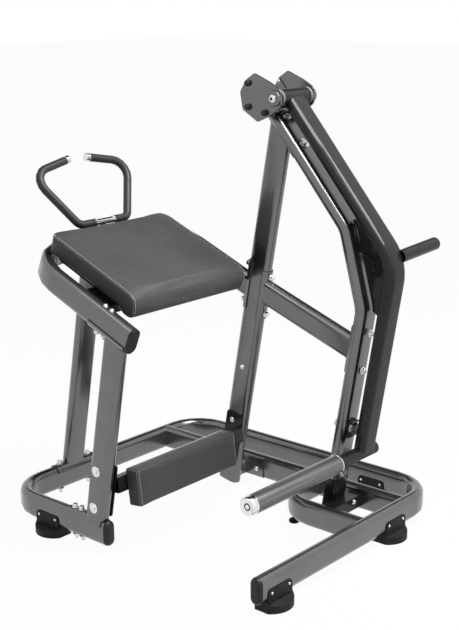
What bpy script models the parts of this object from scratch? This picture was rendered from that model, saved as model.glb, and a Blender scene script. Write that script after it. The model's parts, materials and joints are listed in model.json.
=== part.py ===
# Glute kickback machine: a floor frame of bent flat-oval tube, leaning posts, an inclined chest pad
# and a loaded lever that swings back from a pivot at the top.
# Origin: middle of the footprint on the floor. +X is the user's right, +Y the way the user faces.
import math

import bmesh
import bpy
from mathutils import Matrix, Vector

MM = 0.001
GAP = 0.3 * MM
X_AXIS = Vector((1, 0, 0))
Y_AXIS = Vector((0, 1, 0))
Z_AXIS = Vector((0, 0, 1))

# One flat-oval tube makes nearly the whole frame
TUBE_THIN = 50 * MM
TUBE_TALL = 100 * MM
WALL = 3 * MM
BEND = 150 * MM
LEAN = math.radians(10.6)
CAP_DOME = 10 * MM
CAP_PLUG = 20 * MM
ARC_STEPS = 8

# Floor frame, tube centre lines
BASE_HALF = 542 * MM
FRONT_Y = 653 * MM
REAR_Y = -618 * MM
FLOOR_GAP = 35 * MM
RUN_Z = FLOOR_GAP + TUBE_TALL / 2
LEFT_END_Y = 95 * MM
REAR_END_X = 6 * MM - BASE_HALF
RAIL_X = 341 * MM
INNER_X = 79 * MM
INNER_Y = -213 * MM

# Rubber feet: how far each reaches along the run, inwards, outwards and up
FOOT_LEFT_Y = 406 * MM
FOOT_REAR_X = (REAR_END_X + 89 * MM, 249 * MM)
FOOT_RIGHT_Y = -345 * MM
FOOT_HALF = 68 * MM
FOOT_IN = 31 * MM
FOOT_OUT = 65 * MM
FOOT_BULGE = 37 * MM
FOOT_WALL = 26 * MM
FLAP_THICK = 4 * MM
FLAP_HALF = 63 * MM
FLAP_TOP = 85 * MM
LEVEL_ANGLE = math.radians(133)
LEVEL_R = 21 * MM
LEVEL_SCREW_R = 6 * MM

# Posts: where their centre lines cross the height of the runs' centres
GROUP_X = -212 * MM
LEFT_POST_Y = 158 * MM
REAR_POST_Y = FRONT_Y + 10 * MM
MAIN_POST_Y = 159 * MM
MAIN_POST_FOOT = 48 * MM

# Bolted saddles and joint plates; bolts are set out from the middle of each saddle
SADDLE = 5 * MM
JOINT_PLATE = 6 * MM
JOINT_HALF = 30 * MM
BEAM_PLATE_MARGIN = 45 * MM
TOP_PLATE_MARGIN = 60 * MM
SADDLE_LONG = 190 * MM
REAR_BASE_LONG = 209 * MM
TOWER_SADDLE_LONG = 200 * MM
LEFT_BASE_SHIFT = 47 * MM
LEFT_TOP_SHIFT = 26 * MM
LEFT_BASE_BOLTS = (-65 * MM, -29 * MM)
LEFT_TOP_BOLTS = (62 * MM, 24 * MM)
END_BOLTS = (-76 * MM, 76 * MM)
BOLT_R = 10 * MM
BOLT_HIGH = 14 * MM

# Tower, all in the plane x = TOWER_X, as (y, z)
TOWER_X = 222 * MM
REAR_FOOT = (-363 * MM, 50 * MM)
REAR_LOW_BEND = (-508 * MM, 884 * MM)
REAR_TOP_BEND = (-429 * MM, 1179 * MM)
REAR_TOP = (-79 * MM, 1595 * MM)
REAR_BEND = 110 * MM
CROSS = (-72 * MM, 1596 * MM)
CROSS_TILT = math.radians(12.5)
BEAM_AT = (-47 * MM, 874 * MM)
BEAM_DROP = math.radians(19.8)

# Foot of the rear upright and the bridge to the rail
SHOE_DEEP = 55 * MM
SHOE_TALL = 50 * MM
SHOE_BACK = 54 * MM
COLLAR_WALL = 2.5 * MM
COLLAR_HIGH = 155 * MM
BRIDGE_DEEP = 62 * MM
BRIDGE_TALL = 50 * MM
BRIDGE_PLATE_LONG = 198 * MM
BRIDGE_PLATE_TALL = 86 * MM

# Pivot, cheeks and lever, as (y, z)
PIVOT = (-158 * MM, 1639 * MM)
HUB_R = 30 * MM
SHAFT_R = 12.5 * MM
SHAFT_HEAD_R = 16 * MM
PIVOT_CAP_THICK = 12 * MM
CHEEK_HALF = 94 * MM
CHEEK_THICK = 8 * MM
CHEEK_CORNERS = [(-60, 1727), (-137, 1696), (-187, 1668), (-187, 1610), (-126, 1570), (-76, 1549),
                 (-3, 1592), (9, 1658), (-22, 1703)]
CHEEK_RADII = (9, 14, 26, 26, 10, 14, 14, 20, 14)
STUDS = [(-32 * MM, 1690 * MM), (-32 * MM, 1603 * MM), (-113 * MM, 1585 * MM)]
STUD_R = 12 * MM
STUD_HIGH = 17 * MM
LEVER_BEND_AT = (-637 * MM, 1074 * MM)
LEVER_RADIUS = 170 * MM
GUSSET_THICK = 8 * MM
GUSSET_GAP = 9 * MM
GUSSET_HIGH = 1235 * MM
GUSSET_LOW = 858 * MM
NOTCH_AT = (-481 * MM, 1115 * MM)
NOTCH_R = 22 * MM
FOOT_BAR = (-510 * MM, 330 * MM)
BAR_R = 25 * MM
BAR_FAR = 290 * MM
AXLE_R = 10 * MM
AXLE_END = 12 * MM
ROLLER_R = 35 * MM
ROLLER_FAR = 45 * MM
ROLLER_NEAR = -434 * MM
ROLLER_CAP_R = 34.5 * MM
ROLLER_CAP_LONG = 29 * MM
HORN_AT = (-631 * MM, 1094 * MM)
HORN_R = 24 * MM
HORN_WALL = 4 * MM
HORN_LENGTH = 208 * MM
HORN_RISE = math.radians(3.2)
BUMPER_AT = 372 * MM
BUMPER_R = 21 * MM
BRACKET_HALF = 26 * MM
BRACKET_THICK = 8 * MM

# Pad loop: a plane that rises towards the handles; v runs up the slope, w stands off it
SLOPE = math.radians(22.3)
LOOP_AT = (153 * MM, 937 * MM)
LOOP_BEND = 160 * MM
LOOP_BOW_SHIFT = 6 * MM
LOOP_END = -229 * MM
LOOP_RIGHT_END = -140 * MM

# Chest pad: its sides lean in towards the base by PAD_LEAN each
PAD_WIDTH = 600 * MM
PAD_LEAN = 12 * MM
PAD_LOW = 39 * MM
PAD_THICK = 92 * MM
PAD_HIP = -177 * MM
PAD_HEAD = 308 * MM
PAD_NOSE = 46 * MM
NOSE_DROP = 20 * MM
PAD_CROWN = 6 * MM
PAD_CORNER = 40 * MM
CUSHION_TURN = 40 * MM
SIDE_DRAW = 0.965
BOARD_THICK = 15 * MM
BOARD_INSET = 14 * MM
BOARD_SETBACK = 55 * MM
BOARD_CORNER = 60 * MM
CHANNEL_DEEP = 34 * MM
CHANNEL_WALL = 4 * MM
HIP_BAR_V = -8 * MM
HIP_BAR_WIDE = 125 * MM
HEAD_BAR_WIDE = 60 * MM

# Handles, in a plane that leans away from the user
HANDLE_AT = (415 * MM, 1171 * MM)
HANDLE_TILT = math.radians(31.5)
HANDLE_R = 12.5 * MM
HANDLE_BENDS = [(124 * MM, 0), (250 * MM, 227 * MM)]
HANDLE_RADII = (38 * MM, 58 * MM)
HANDLE_END = (44 * MM, 270 * MM)
GRIP_R = 16 * MM
GRIP_START = 48 * MM
GRIP_SETBACK = 20 * MM
STEM_R = 14 * MM

# Shin pad
SHIN_X = -202 * MM
SHIN_FACE_Y = -7 * MM
SHIN_SIZE = (540 * MM, 68 * MM, 145 * MM)
SHIN_Z = 259 * MM
SHIN_TILT = math.radians(-7.8)
SHIN_CROWN = 2 * MM
SHIN_BAR = (40 * MM, 60 * MM)
SHIN_BAR_WALL = 3 * MM
SHIN_BAR_RAISE = 16 * MM
SHIN_SIDE_Z = 250 * MM
SHIN_SIDE_HALF = 106 * MM
SHIN_SIDE_BACK = 46 * MM
SHIN_SIDE_FRONT = 40 * MM
SHIN_SIDE_THICK = 6 * MM

DARK = (0.012, 0.012, 0.013)
GREY = (0.16, 0.165, 0.17)
STEEL = (0.62, 0.62, 0.62)


def clear_scene():
    for obj in list(bpy.data.objects):
        bpy.data.objects.remove(obj, do_unlink=True)


def new_collection(name):
    found = bpy.data.collections.new(name)
    bpy.context.scene.collection.children.link(found)
    return found


def paint(obj, color, metallic, roughness):
    mat = bpy.data.materials.new(obj.name)
    mat.use_nodes = True
    shader = mat.node_tree.nodes["Principled BSDF"]
    shader.inputs["Base Color"].default_value = (*color, 1.0)
    shader.inputs["Metallic"].default_value = metallic
    shader.inputs["Roughness"].default_value = roughness
    obj.data.materials.clear()
    obj.data.materials.append(mat)
    return obj


def frame_paint(obj):
    return paint(obj, GREY, 0.55, 0.38)


def black_paint(obj):
    return paint(obj, DARK, 0.2, 0.4)


def rubber(obj):
    return paint(obj, DARK, 0.0, 0.75)


def leather(obj):
    return paint(obj, (0.03, 0.03, 0.032), 0.0, 0.55)


def zinc(obj):
    return paint(obj, STEEL, 1.0, 0.25)


def place(obj, origin, x_way, y_way):
    """Put a piece with its local x and y along two given directions."""
    x_dir = Vector(x_way).normalized()
    y_dir = Vector(y_way).normalized()
    turn = Matrix((x_dir, y_dir, x_dir.cross(y_dir))).transposed()
    obj.location = origin
    obj.rotation_euler = turn.to_euler()
    return obj


def in_tower(point, x=TOWER_X):
    return Vector((x, point[0], point[1]))


def along_slope(x, v, w):
    y = LOOP_AT[0] + v * math.cos(SLOPE) - w * math.sin(SLOPE)
    z = LOOP_AT[1] + v * math.sin(SLOPE) + w * math.cos(SLOPE)
    return Vector((x, y, z))


def meet(point, way, face, square):
    """Where a line through a point crosses the plane through face that is square to a direction."""
    return point + way * ((face - point).dot(square) / way.dot(square))


SLOPE_V = Vector((0, math.cos(SLOPE), math.sin(SLOPE)))
SLOPE_W = Vector((0, -math.sin(SLOPE), math.cos(SLOPE)))
LEAN_UP = Vector((0, -math.sin(LEAN), math.cos(LEAN)))
LEAN_OUT = Vector((0, math.cos(LEAN), math.sin(LEAN)))
HANDLE_UP = Vector((0, math.sin(HANDLE_TILT), math.cos(HANDLE_TILT)))
CROSS_WAY = Vector((0, math.cos(CROSS_TILT), math.sin(CROSS_TILT)))
BEAM_WAY = Vector((0, math.cos(BEAM_DROP), math.sin(BEAM_DROP)))
SHIN_WAY = Vector((0, math.cos(SHIN_TILT), math.sin(SHIN_TILT)))


def arc(center, radius, start, end, steps):
    points = []
    for i in range(steps + 1):
        angle = math.radians(start + (end - start) * i / steps)
        points.append((center[0] + radius * math.cos(angle), center[1] + radius * math.sin(angle)))
    return points


def oval(grow=0.0):
    """Flat oval, its long axis along y, made bigger all round by grow."""
    flat = (TUBE_TALL - TUBE_THIN) / 2
    radius = TUBE_THIN / 2 + grow
    return arc((0, flat), radius, 0, 180, ARC_STEPS) + arc((0, -flat), radius, 180, 360, ARC_STEPS)


def turned_quarter(points):
    return [(y, -x) for x, y in points]


def rounded(corners, radius, closed=False, steps=5):
    """A path through corners with each bend a true arc; radius is one value or one for each corner."""
    count = len(corners)
    radii = radius if isinstance(radius, (list, tuple)) else [radius] * count
    path = []
    for i, corner in enumerate(corners):
        here = Vector(corner)
        if not closed and i in (0, count - 1):
            path.append(tuple(here))
            continue
        back = (Vector(corners[i - 1]) - here).normalized()
        ahead = (Vector(corners[(i + 1) % count]) - here).normalized()
        half = back.angle(ahead) / 2
        reach = radii[i] / math.tan(half)
        middle = here + (back + ahead).normalized() * (radii[i] / math.sin(half))
        first = here + back * reach - middle
        last = here + ahead * reach - middle
        sweep = first.angle_signed(last)
        for k in range(steps + 1):
            turn = Matrix.Rotation(-sweep * k / steps, 2)
            path.append(tuple(middle + turn @ first))
    return path


def curve_object(name, loops, closed, where):
    data = bpy.data.curves.new(name, "CURVE")
    data.dimensions = "2D"
    for loop in loops:
        spline = data.splines.new("POLY")
        spline.points.add(len(loop) - 1)
        for point, (x, y) in zip(spline.points, loop):
            point.co = (x, y, 0, 1)
        spline.use_cyclic_u = closed
    obj = bpy.data.objects.new(name, data)
    where.objects.link(obj)
    return obj


def as_mesh(obj, where):
    """Turn a curve into one welded mesh with the same name and place."""
    bpy.context.view_layer.update()
    graph = bpy.context.evaluated_depsgraph_get()
    data = bpy.data.meshes.new_from_object(obj.evaluated_get(graph))
    work = bmesh.new()
    work.from_mesh(data)
    bmesh.ops.remove_doubles(work, verts=work.verts, dist=0.00001)
    bmesh.ops.recalc_face_normals(work, faces=work.faces)
    work.to_mesh(data)
    work.free()
    name = obj.name
    curve = obj.data
    bpy.data.objects.remove(obj, do_unlink=True)
    bpy.data.curves.remove(curve)
    solid = bpy.data.objects.new(name, data)
    where.objects.link(solid)
    return solid


def prism(name, loops, depth, where):
    """Closed flat loops pulled to a depth, half to each side of the local plane."""
    obj = curve_object(name, loops, True, where)
    obj.data.fill_mode = "BOTH"
    obj.data.extrude = depth / 2
    return as_mesh(obj, where)


def straight_tube(name, length, wide=False):
    """Hollow flat-oval tube along local z; wide lays its long axis along x."""
    outer = oval()
    inner = oval(-WALL)
    if wide:
        outer = turned_quarter(outer)
        inner = turned_quarter(inner)
    return prism(name, [outer, inner], length, PARTS)


def swept(name, path, where, grow=0.0, wall=0.0):
    """Flat-oval tube swept along a flat path, its long axis square to the path's plane."""
    section = curve_object(name + "_section", [oval(grow)], True, TOOLS)
    section.hide_render = True
    section.display_type = "WIRE"
    obj = curve_object(name, [path], False, where)
    obj.data.fill_mode = "NONE"
    obj.data.bevel_mode = "OBJECT"
    obj.data.bevel_object = section
    obj.data.use_fill_caps = wall == 0.0
    solid = as_mesh(obj, where)
    if wall:
        shell = solid.modifiers.new("Wall", "SOLIDIFY")
        shell.thickness = wall
        shell.offset = -1
        shell.use_even_offset = True
    return solid


def bent_bar(name, path, radius, where, wall=0.0):
    """Round bar or sleeve along a flat path in the local plane."""
    obj = curve_object(name, [path], False, where)
    obj.data.fill_mode = "NONE"
    obj.data.bevel_depth = radius
    obj.data.bevel_resolution = 3
    obj.data.use_fill_caps = wall == 0.0
    solid = as_mesh(obj, where)
    if wall:
        shell = solid.modifiers.new("Wall", "SOLIDIFY")
        shell.thickness = wall
        shell.offset = -1
        shell.use_even_offset = True
    return solid


def turned(name, profile, where, steps=24, closed=False):
    """Turned piece: the profile runs down its outer side, in x, and is spun about z."""
    verts = [(x, 0, z) for x, z in profile]
    edges = [(i, i + 1) for i in range(len(verts) - 1)]
    if closed:
        edges.append((len(verts) - 1, 0))
    data = bpy.data.meshes.new(name)
    data.from_pydata(verts, edges, [])
    obj = bpy.data.objects.new(name, data)
    where.objects.link(obj)
    spin = obj.modifiers.new("Spin", "SCREW")
    spin.steps = steps
    spin.render_steps = steps
    spin.use_merge_vertices = True
    spin.merge_threshold = 0.00001
    return obj


def rod(name, start, end, radius, where, side=X_AXIS):
    """Straight round bar between two points; side is any direction square to it."""
    start = Vector(start)
    way = Vector(end) - start
    length = way.length
    bar = turned(name, [(0, length), (radius, length), (radius, 0), (0, 0)], where)
    return place(bar, start, side, way.cross(side))


def box(name, size, where):
    data = bpy.data.meshes.new(name)
    work = bmesh.new()
    bmesh.ops.create_cube(work, size=1)
    bmesh.ops.scale(work, vec=size, verts=work.verts)
    work.to_mesh(data)
    work.free()
    obj = bpy.data.objects.new(name, data)
    where.objects.link(obj)
    return obj


def bolt_head(name, radius, height, sides=6):
    data = bpy.data.meshes.new(name)
    work = bmesh.new()
    bmesh.ops.create_cone(work, cap_ends=True, segments=sides, radius1=radius, radius2=radius * 0.85, depth=height)
    work.to_mesh(data)
    work.free()
    obj = bpy.data.objects.new(name, data)
    TOOLS.objects.link(obj)
    return obj


def combine(piece, other, how):
    """Boolean with another solid, which stays behind as a tool."""
    step = piece.modifiers.new(other.name, "BOOLEAN")
    step.operation = how
    step.object = other
    other.hide_render = True
    other.display_type = "WIRE"
    return piece


def cut(piece, other):
    return combine(piece, other, "DIFFERENCE")


def fuse(piece, other):
    return combine(piece, other, "UNION")


def soften(obj, width, segments=2):
    edge = obj.modifiers.new("Edges", "BEVEL")
    edge.width = width
    edge.segments = segments
    edge.limit_method = "ANGLE"
    edge.angle_limit = math.radians(50)
    return obj


def hang_on(child, parent):
    child.parent = parent
    child.matrix_parent_inverse = parent.matrix_world.inverted()


# Floor frame

def run_tool(name, center, along, grow):
    """Solid oval bar along a floor run, which copes the tubes that meet it."""
    tool = prism(name, [oval(grow)], 4 * TUBE_TALL, TOOLS)
    side = Y_AXIS if along == "x" else X_AXIS
    return place(tool, center, side, Z_AXIS)


def base_path():
    corners = [(-BASE_HALF, LEFT_END_Y), (-BASE_HALF, FRONT_Y), (BASE_HALF, FRONT_Y)]
    corners += [(BASE_HALF, REAR_Y), (REAR_END_X, REAR_Y)]
    return rounded(corners, BEND)


def base_tube():
    tube = swept("base_tube", base_path(), PARTS, wall=WALL)
    tube.location = (0, 0, RUN_Z)
    return frame_paint(tube)


def end_cap(name, origin, x_way, y_way):
    """Domed cover with a plug inside the tube; local z points out of the tube."""
    cover = prism(name, [oval(-0.5 * MM)], CAP_DOME, PARTS)
    cover.data.transform(Matrix.Translation((0, 0, CAP_DOME / 2 + GAP)))
    soften(cover, 6 * MM, 2)
    plug = prism(name + "_plug", [oval(-WALL - GAP)], CAP_PLUG + CAP_DOME / 2, TOOLS)
    place(plug, origin, x_way, y_way)
    place(cover, origin, x_way, y_way)
    plug.location = Vector(origin) - Vector(x_way).cross(Vector(y_way)) * (CAP_PLUG / 2 - CAP_DOME / 4)
    return rubber(fuse(cover, plug))


def middle_rail():
    rail = straight_tube("middle_rail", FRONT_Y - REAR_Y - 16 * MM)
    place(rail, (RAIL_X, (FRONT_Y + REAR_Y) / 2, RUN_Z), X_AXIS, Z_AXIS)
    cut(rail, run_tool("rail_front_cope", (RAIL_X, FRONT_Y, RUN_Z), "x", GAP))
    cut(rail, run_tool("rail_rear_cope", (RAIL_X, REAR_Y, RUN_Z), "x", GAP))
    return frame_paint(rail)


def inner_loop():
    path = rounded([(INNER_X, REAR_Y + 8 * MM), (INNER_X, INNER_Y), (RAIL_X - 8 * MM, INNER_Y)], BEND)
    loop = swept("inner_loop", path, PARTS, wall=WALL)
    loop.location = (0, 0, RUN_Z)
    cut(loop, run_tool("loop_rear_cope", (INNER_X, REAR_Y, RUN_Z), "x", GAP))
    cut(loop, run_tool("loop_rail_cope", (RAIL_X, INNER_Y, RUN_Z), "y", GAP))
    return frame_paint(loop)


def saddle_foot(name, x, y, out_way):
    """Rubber foot: a base with a half-round front that cradles the run, and a flap up each side."""
    out_dir = Vector(out_way)
    run_dir = Z_AXIS.cross(out_dir)
    crease = TUBE_THIN / 2 + FLAP_THICK
    side = [(-FOOT_IN, 0), (FOOT_OUT, 0), (FOOT_OUT, FOOT_WALL), (crease, FLOOR_GAP - 2 * MM)]
    side += [(0, RUN_Z), (-FOOT_IN, FLOOR_GAP - 2 * MM)]
    foot = prism(name, [side], 2 * FOOT_HALF, PARTS)
    place(foot, (x, y, 0), out_dir, Z_AXIS)
    front = (FOOT_HALF ** 2 + FOOT_BULGE ** 2) / (2 * FOOT_BULGE)
    sweep = math.degrees(math.asin(FOOT_HALF / front))
    plan = [(-FOOT_IN, FOOT_HALF), (-FOOT_IN, -FOOT_HALF)] + arc((FOOT_OUT - front, 0), front, -sweep, sweep, 12)
    shape = prism(name + "_plan", [plan], 2 * RUN_Z, TOOLS)
    place(shape, (x, y, 0), out_dir, run_dir)
    combine(foot, shape, "INTERSECT")
    soften(foot, 3 * MM, 1)
    corners = [(-FOOT_HALF, MM), (FOOT_HALF, MM), (FOOT_HALF, FOOT_WALL), (FLAP_HALF, FLAP_TOP / 2)]
    corners += [(FLAP_HALF, FLAP_TOP), (-FLAP_HALF, FLAP_TOP), (-FLAP_HALF, FLAP_TOP / 2), (-FOOT_HALF, FOOT_WALL)]
    radii = [r * MM for r in (1, 1, 4, 18, 15, 15, 18, 4)]
    flap = prism(name + "_flap", [rounded(corners, radii, closed=True, steps=4)], 2 * crease, TOOLS)
    place(flap, (x, y, 0), run_dir, Z_AXIS)
    fuse(foot, flap)
    hollow = prism(name + "_run", [oval(GAP)], 4 * FOOT_HALF, TOOLS)
    place(hollow, (x, y, RUN_Z), out_dir, Z_AXIS)
    cut(foot, hollow)
    return rubber(foot)


def levelling_foot():
    x = INNER_X + BEND + BEND * math.cos(LEVEL_ANGLE)
    y = INNER_Y - BEND + BEND * math.sin(LEVEL_ANGLE)
    top = FLOOR_GAP - GAP
    nut = LEVEL_SCREW_R + 5 * MM
    profile = [(0, top), (LEVEL_SCREW_R, top), (LEVEL_SCREW_R, 19 * MM), (nut, 19 * MM), (nut, 13 * MM)]
    profile += [(LEVEL_R - 2 * MM, 12 * MM), (LEVEL_R, 10 * MM), (LEVEL_R, 2 * MM), (LEVEL_R - 2 * MM, 0), (0, 0)]
    foot = turned("levelling_foot", profile, PARTS)
    foot.location = (x, y, 0)
    return rubber(foot)


# Saddles: bolted plates that hug the rounded edge of a tube

def saddle(name, origin, x_way, out_way, length, bolts):
    """Plate round the tube edge that faces out_way; the tube runs along local z."""
    flat = (TUBE_TALL - TUBE_THIN) / 2
    inner = TUBE_THIN / 2 + GAP
    outer = inner + SADDLE
    band = arc((0, flat), outer, 0, 180, ARC_STEPS) + arc((0, flat), inner, 180, 0, ARC_STEPS)
    plate = prism(name, [band], length, PARTS)
    place(plate, origin, x_way, out_way)
    x_dir = Vector(x_way)
    out_dir = Vector(out_way)
    along = x_dir.cross(out_dir)
    for i, at in enumerate(bolts):
        head = bolt_head(f"{name}_bolt_{i}", BOLT_R, BOLT_HIGH)
        reach = TUBE_TALL / 2 + SADDLE + 4 * MM
        place(head, Vector(origin) + along * at + out_dir * reach, x_dir, -along)
        fuse(plate, head)
    return frame_paint(plate)


def leaning_tool(name, x, y, grow, wide=False):
    outline = oval(grow)
    if wide:
        outline = turned_quarter(outline)
    tool = prism(name, [outline], 2.4, TOOLS)
    return place(tool, (x, y, RUN_Z), X_AXIS, LEAN_OUT)


def sloping_tool(name, origin, x_way, y_way, grow):
    tool = prism(name, [oval(grow)], 4 * TUBE_TALL, TOOLS)
    return place(tool, origin, x_way, y_way)


def post_tip(x, post_y):
    """Where a leaning centre line meets the underside of the pad loop."""
    return meet(Vector((x, post_y, RUN_Z)), LEAN_UP, along_slope(x, 0, -TUBE_TALL / 2), SLOPE_W)


def slope_place(x, post_y):
    """How far up the slope a leaning centre line crosses the middle of the pad loop."""
    start = along_slope(x, 0, 0)
    return (meet(Vector((x, post_y, RUN_Z)), LEAN_UP, start, SLOPE_W) - start).dot(SLOPE_V)


def left_top_v():
    return slope_place(-BASE_HALF, LEFT_POST_Y) + LEFT_TOP_SHIFT


def loop_bow():
    """Middle of the loop's bow, just below the rear post's centre line."""
    return slope_place(GROUP_X, REAR_POST_Y) - LOOP_BOW_SHIFT


def left_post():
    foot = Vector((-BASE_HALF, LEFT_POST_Y, RUN_Z)) + LEAN_UP * (TUBE_TALL - TUBE_THIN) / 2
    tip = post_tip(-BASE_HALF, LEFT_POST_Y) + LEAN_UP * (TUBE_TALL - TUBE_THIN) / 2
    post = straight_tube("left_post", (tip - foot).length)
    place(post, (foot + tip) / 2, X_AXIS, LEAN_OUT)
    reach = SADDLE + 2 * GAP
    cut(post, run_tool("left_post_foot_cope", (-BASE_HALF, LEFT_POST_Y, RUN_Z), "y", reach))
    leg = along_slope(-BASE_HALF, left_top_v(), 0)
    cut(post, sloping_tool("left_post_top_cope", leg, X_AXIS, SLOPE_W, reach))
    return frame_paint(post)


def rear_post():
    foot = Vector((GROUP_X, REAR_POST_Y, RUN_Z)) + LEAN_UP * (TUBE_TALL - TUBE_THIN) / 2
    tip = post_tip(GROUP_X, REAR_POST_Y) + LEAN_UP * (TUBE_TALL - TUBE_THIN) / 2
    post = straight_tube("rear_post", (tip - foot).length, wide=True)
    place(post, (foot + tip) / 2, X_AXIS, LEAN_OUT)
    reach = SADDLE + 2 * GAP
    cut(post, run_tool("rear_post_foot_cope", (GROUP_X, FRONT_Y, RUN_Z), "x", reach))
    bow = along_slope(GROUP_X, loop_bow(), 0)
    cut(post, sloping_tool("rear_post_top_cope", bow, SLOPE_V, SLOPE_W, reach))
    return frame_paint(post)


def post_saddles():
    left_at = (-BASE_HALF, LEFT_POST_Y + LEFT_BASE_SHIFT, RUN_Z)
    left = saddle("left_post_base", left_at, X_AXIS, Z_AXIS, SADDLE_LONG, LEFT_BASE_BOLTS)
    rear = saddle("rear_post_base", (GROUP_X, FRONT_Y, RUN_Z), Y_AXIS, Z_AXIS, REAR_BASE_LONG, END_BOLTS)
    top_at = along_slope(-BASE_HALF, left_top_v(), 0)
    top = saddle("left_post_top", top_at, X_AXIS, -SLOPE_W, SADDLE_LONG, LEFT_TOP_BOLTS)
    bow_at = along_slope(GROUP_X, loop_bow(), 0)
    bow = saddle("rear_post_top", bow_at, SLOPE_V, -SLOPE_W, SADDLE_LONG, END_BOLTS)
    return left, rear, top, bow


# Pad loop and what it carries

def loop_span():
    return TOWER_X + BASE_HALF


def loop_path():
    bow = loop_bow()
    corners = [(0, LOOP_END), (0, bow), (loop_span(), bow), (loop_span(), LOOP_RIGHT_END)]
    return rounded(corners, LOOP_BEND)


def loop_tool(name):
    tool = swept(name, loop_path(), TOOLS, grow=GAP)
    return place(tool, along_slope(-BASE_HALF, 0, 0), X_AXIS, SLOPE_V)


def pad_loop():
    loop = swept("pad_loop", loop_path(), PARTS, wall=WALL)
    place(loop, along_slope(-BASE_HALF, 0, 0), X_AXIS, SLOPE_V)
    cut(loop, leaning_tool("loop_upright_cope", TOWER_X, MAIN_POST_Y, SADDLE + 2 * GAP))
    return frame_paint(loop)


def pad_crossbar(name, v, width, span):
    """Channel under the pad's board, open below, its ends coped to the loop."""
    half = width / 2
    top = PAD_LOW - GAP
    low = top - CHANNEL_DEEP
    web = top - CHANNEL_WALL
    inner = half - CHANNEL_WALL
    outline = [(-half, low), (-inner, low), (-inner, web), (inner, web), (inner, low), (half, low)]
    outline += [(half, top), (-half, top)]
    bar = prism(name, [outline], span, PARTS)
    place(bar, along_slope(TOWER_X - loop_span() / 2, v, 0), SLOPE_V, SLOPE_W)
    cut(bar, loop_tool(name + "_cope"))
    return black_paint(bar)


def board_outline(grow):
    """Board in plan, round at its corners and inset from the cushion's edge."""
    half = PAD_WIDTH / 2 - PAD_LEAN - BOARD_INSET + grow
    low = PAD_HIP + BOARD_SETBACK - grow
    high = PAD_HEAD - BOARD_INSET + grow
    return rounded([(-half, low), (half, low), (half, high), (-half, high)], BOARD_CORNER + grow, closed=True)


def chest_board():
    thick = BOARD_THICK - GAP
    board = prism("chest_board", [board_outline(0)], thick, PARTS)
    place(board, along_slope(GROUP_X, 0, PAD_LOW + thick / 2), X_AXIS, SLOPE_V)
    soften(board, 3 * MM)
    cut(board, loop_tool("board_loop_relief"))
    return black_paint(board)


def pad_side_outline():
    """Side view of the chest cushion: square at the handles, bull-nosed at the hips."""
    low = PAD_LOW + BOARD_THICK
    top = PAD_LOW + PAD_THICK
    drop = low - NOSE_DROP
    inner = PAD_HIP + BOARD_SETBACK
    corners = [(PAD_HIP, drop), (inner, drop), (inner + 1.5 * NOSE_DROP, low)]
    corners += [(PAD_HEAD, low), (PAD_HEAD, top), (PAD_HIP, top)]
    return rounded(corners, [r * MM for r in (34, 14, 14, 6, 9)] + [PAD_NOSE], closed=True, steps=4)


def lofted_cushion(name, outline, width, lean, crown, corner):
    """Cushion drawn from one side outline: its sides lean in towards the base, its top is crowned
    and its high-v corners are round in plan."""
    half = width / 2
    turn = max(corner, CUSHION_TURN)
    stations = [half - turn * share for share in (0, 0.15, 0.35, 0.6, 1.0)]
    stations += [(half - turn) * share for share in (0.6, 0.2)]
    stations = [-x for x in stations] + stations[::-1]
    low = min(p[1] for p in outline)
    high = max(p[1] for p in outline)
    mid_v = (min(p[0] for p in outline) + max(p[0] for p in outline)) / 2
    mid_w = (low + high) / 2
    reach_v = max(p[0] for p in outline) - mid_v
    reach_w = high - mid_w
    work = bmesh.new()
    rings = []
    for x in stations:
        into = max(0.0, (abs(x) - half + turn) / turn)
        shorten = corner * (1 - math.sqrt(1 - min(1.0, 0.98 * into) ** 2))
        draw = SIDE_DRAW if abs(x) > half - MM else 1.0
        swell = crown * (1 - (x / half) ** 2)
        ring = []
        for v, w in outline:
            far = (v - mid_v) / reach_v
            up = max(0.0, (w - mid_w) / reach_w)
            inward = 1 - lean * (high - w) / (high - low) / half
            new_v = mid_v + (v - mid_v) * (1 - (1 - draw) * reach_w / reach_v) - shorten * max(0.0, far)
            new_w = mid_w + (w - mid_w) * draw + swell * up * (1 - far ** 2)
            ring.append(work.verts.new((x * inward, new_v, new_w)))
        rings.append(ring)
    count = len(outline)
    for left, right in zip(rings, rings[1:]):
        for i in range(count):
            j = (i + 1) % count
            work.faces.new((left[i], left[j], right[j], right[i]))
    work.faces.new(rings[0])
    work.faces.new(reversed(rings[-1]))
    bmesh.ops.recalc_face_normals(work, faces=work.faces)
    data = bpy.data.meshes.new(name)
    work.to_mesh(data)
    work.free()
    obj = bpy.data.objects.new(name, data)
    PARTS.objects.link(obj)
    return obj


def chest_pad():
    pad = lofted_cushion("chest_pad", pad_side_outline(), PAD_WIDTH, PAD_LEAN, PAD_CROWN, PAD_CORNER)
    place(pad, along_slope(GROUP_X, 0, 0), X_AXIS, SLOPE_V)
    recess = prism("chest_board_recess", [board_outline(GAP)], 2 * BOARD_THICK, TOOLS)
    place(recess, along_slope(GROUP_X, 0, PAD_LOW), X_AXIS, SLOPE_V)
    cut(pad, recess)
    cut(pad, loop_tool("chest_loop_relief"))
    return leather(pad)


# Handles

def handle_path(start, end):
    """Right-hand side of the handle in its own plane, rounded at its two bends."""
    return rounded([start] + HANDLE_BENDS + [end], [0, *HANDLE_RADII, 0])


def handle_middle():
    return Vector((GROUP_X, HANDLE_AT[0], HANDLE_AT[1]))


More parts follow.
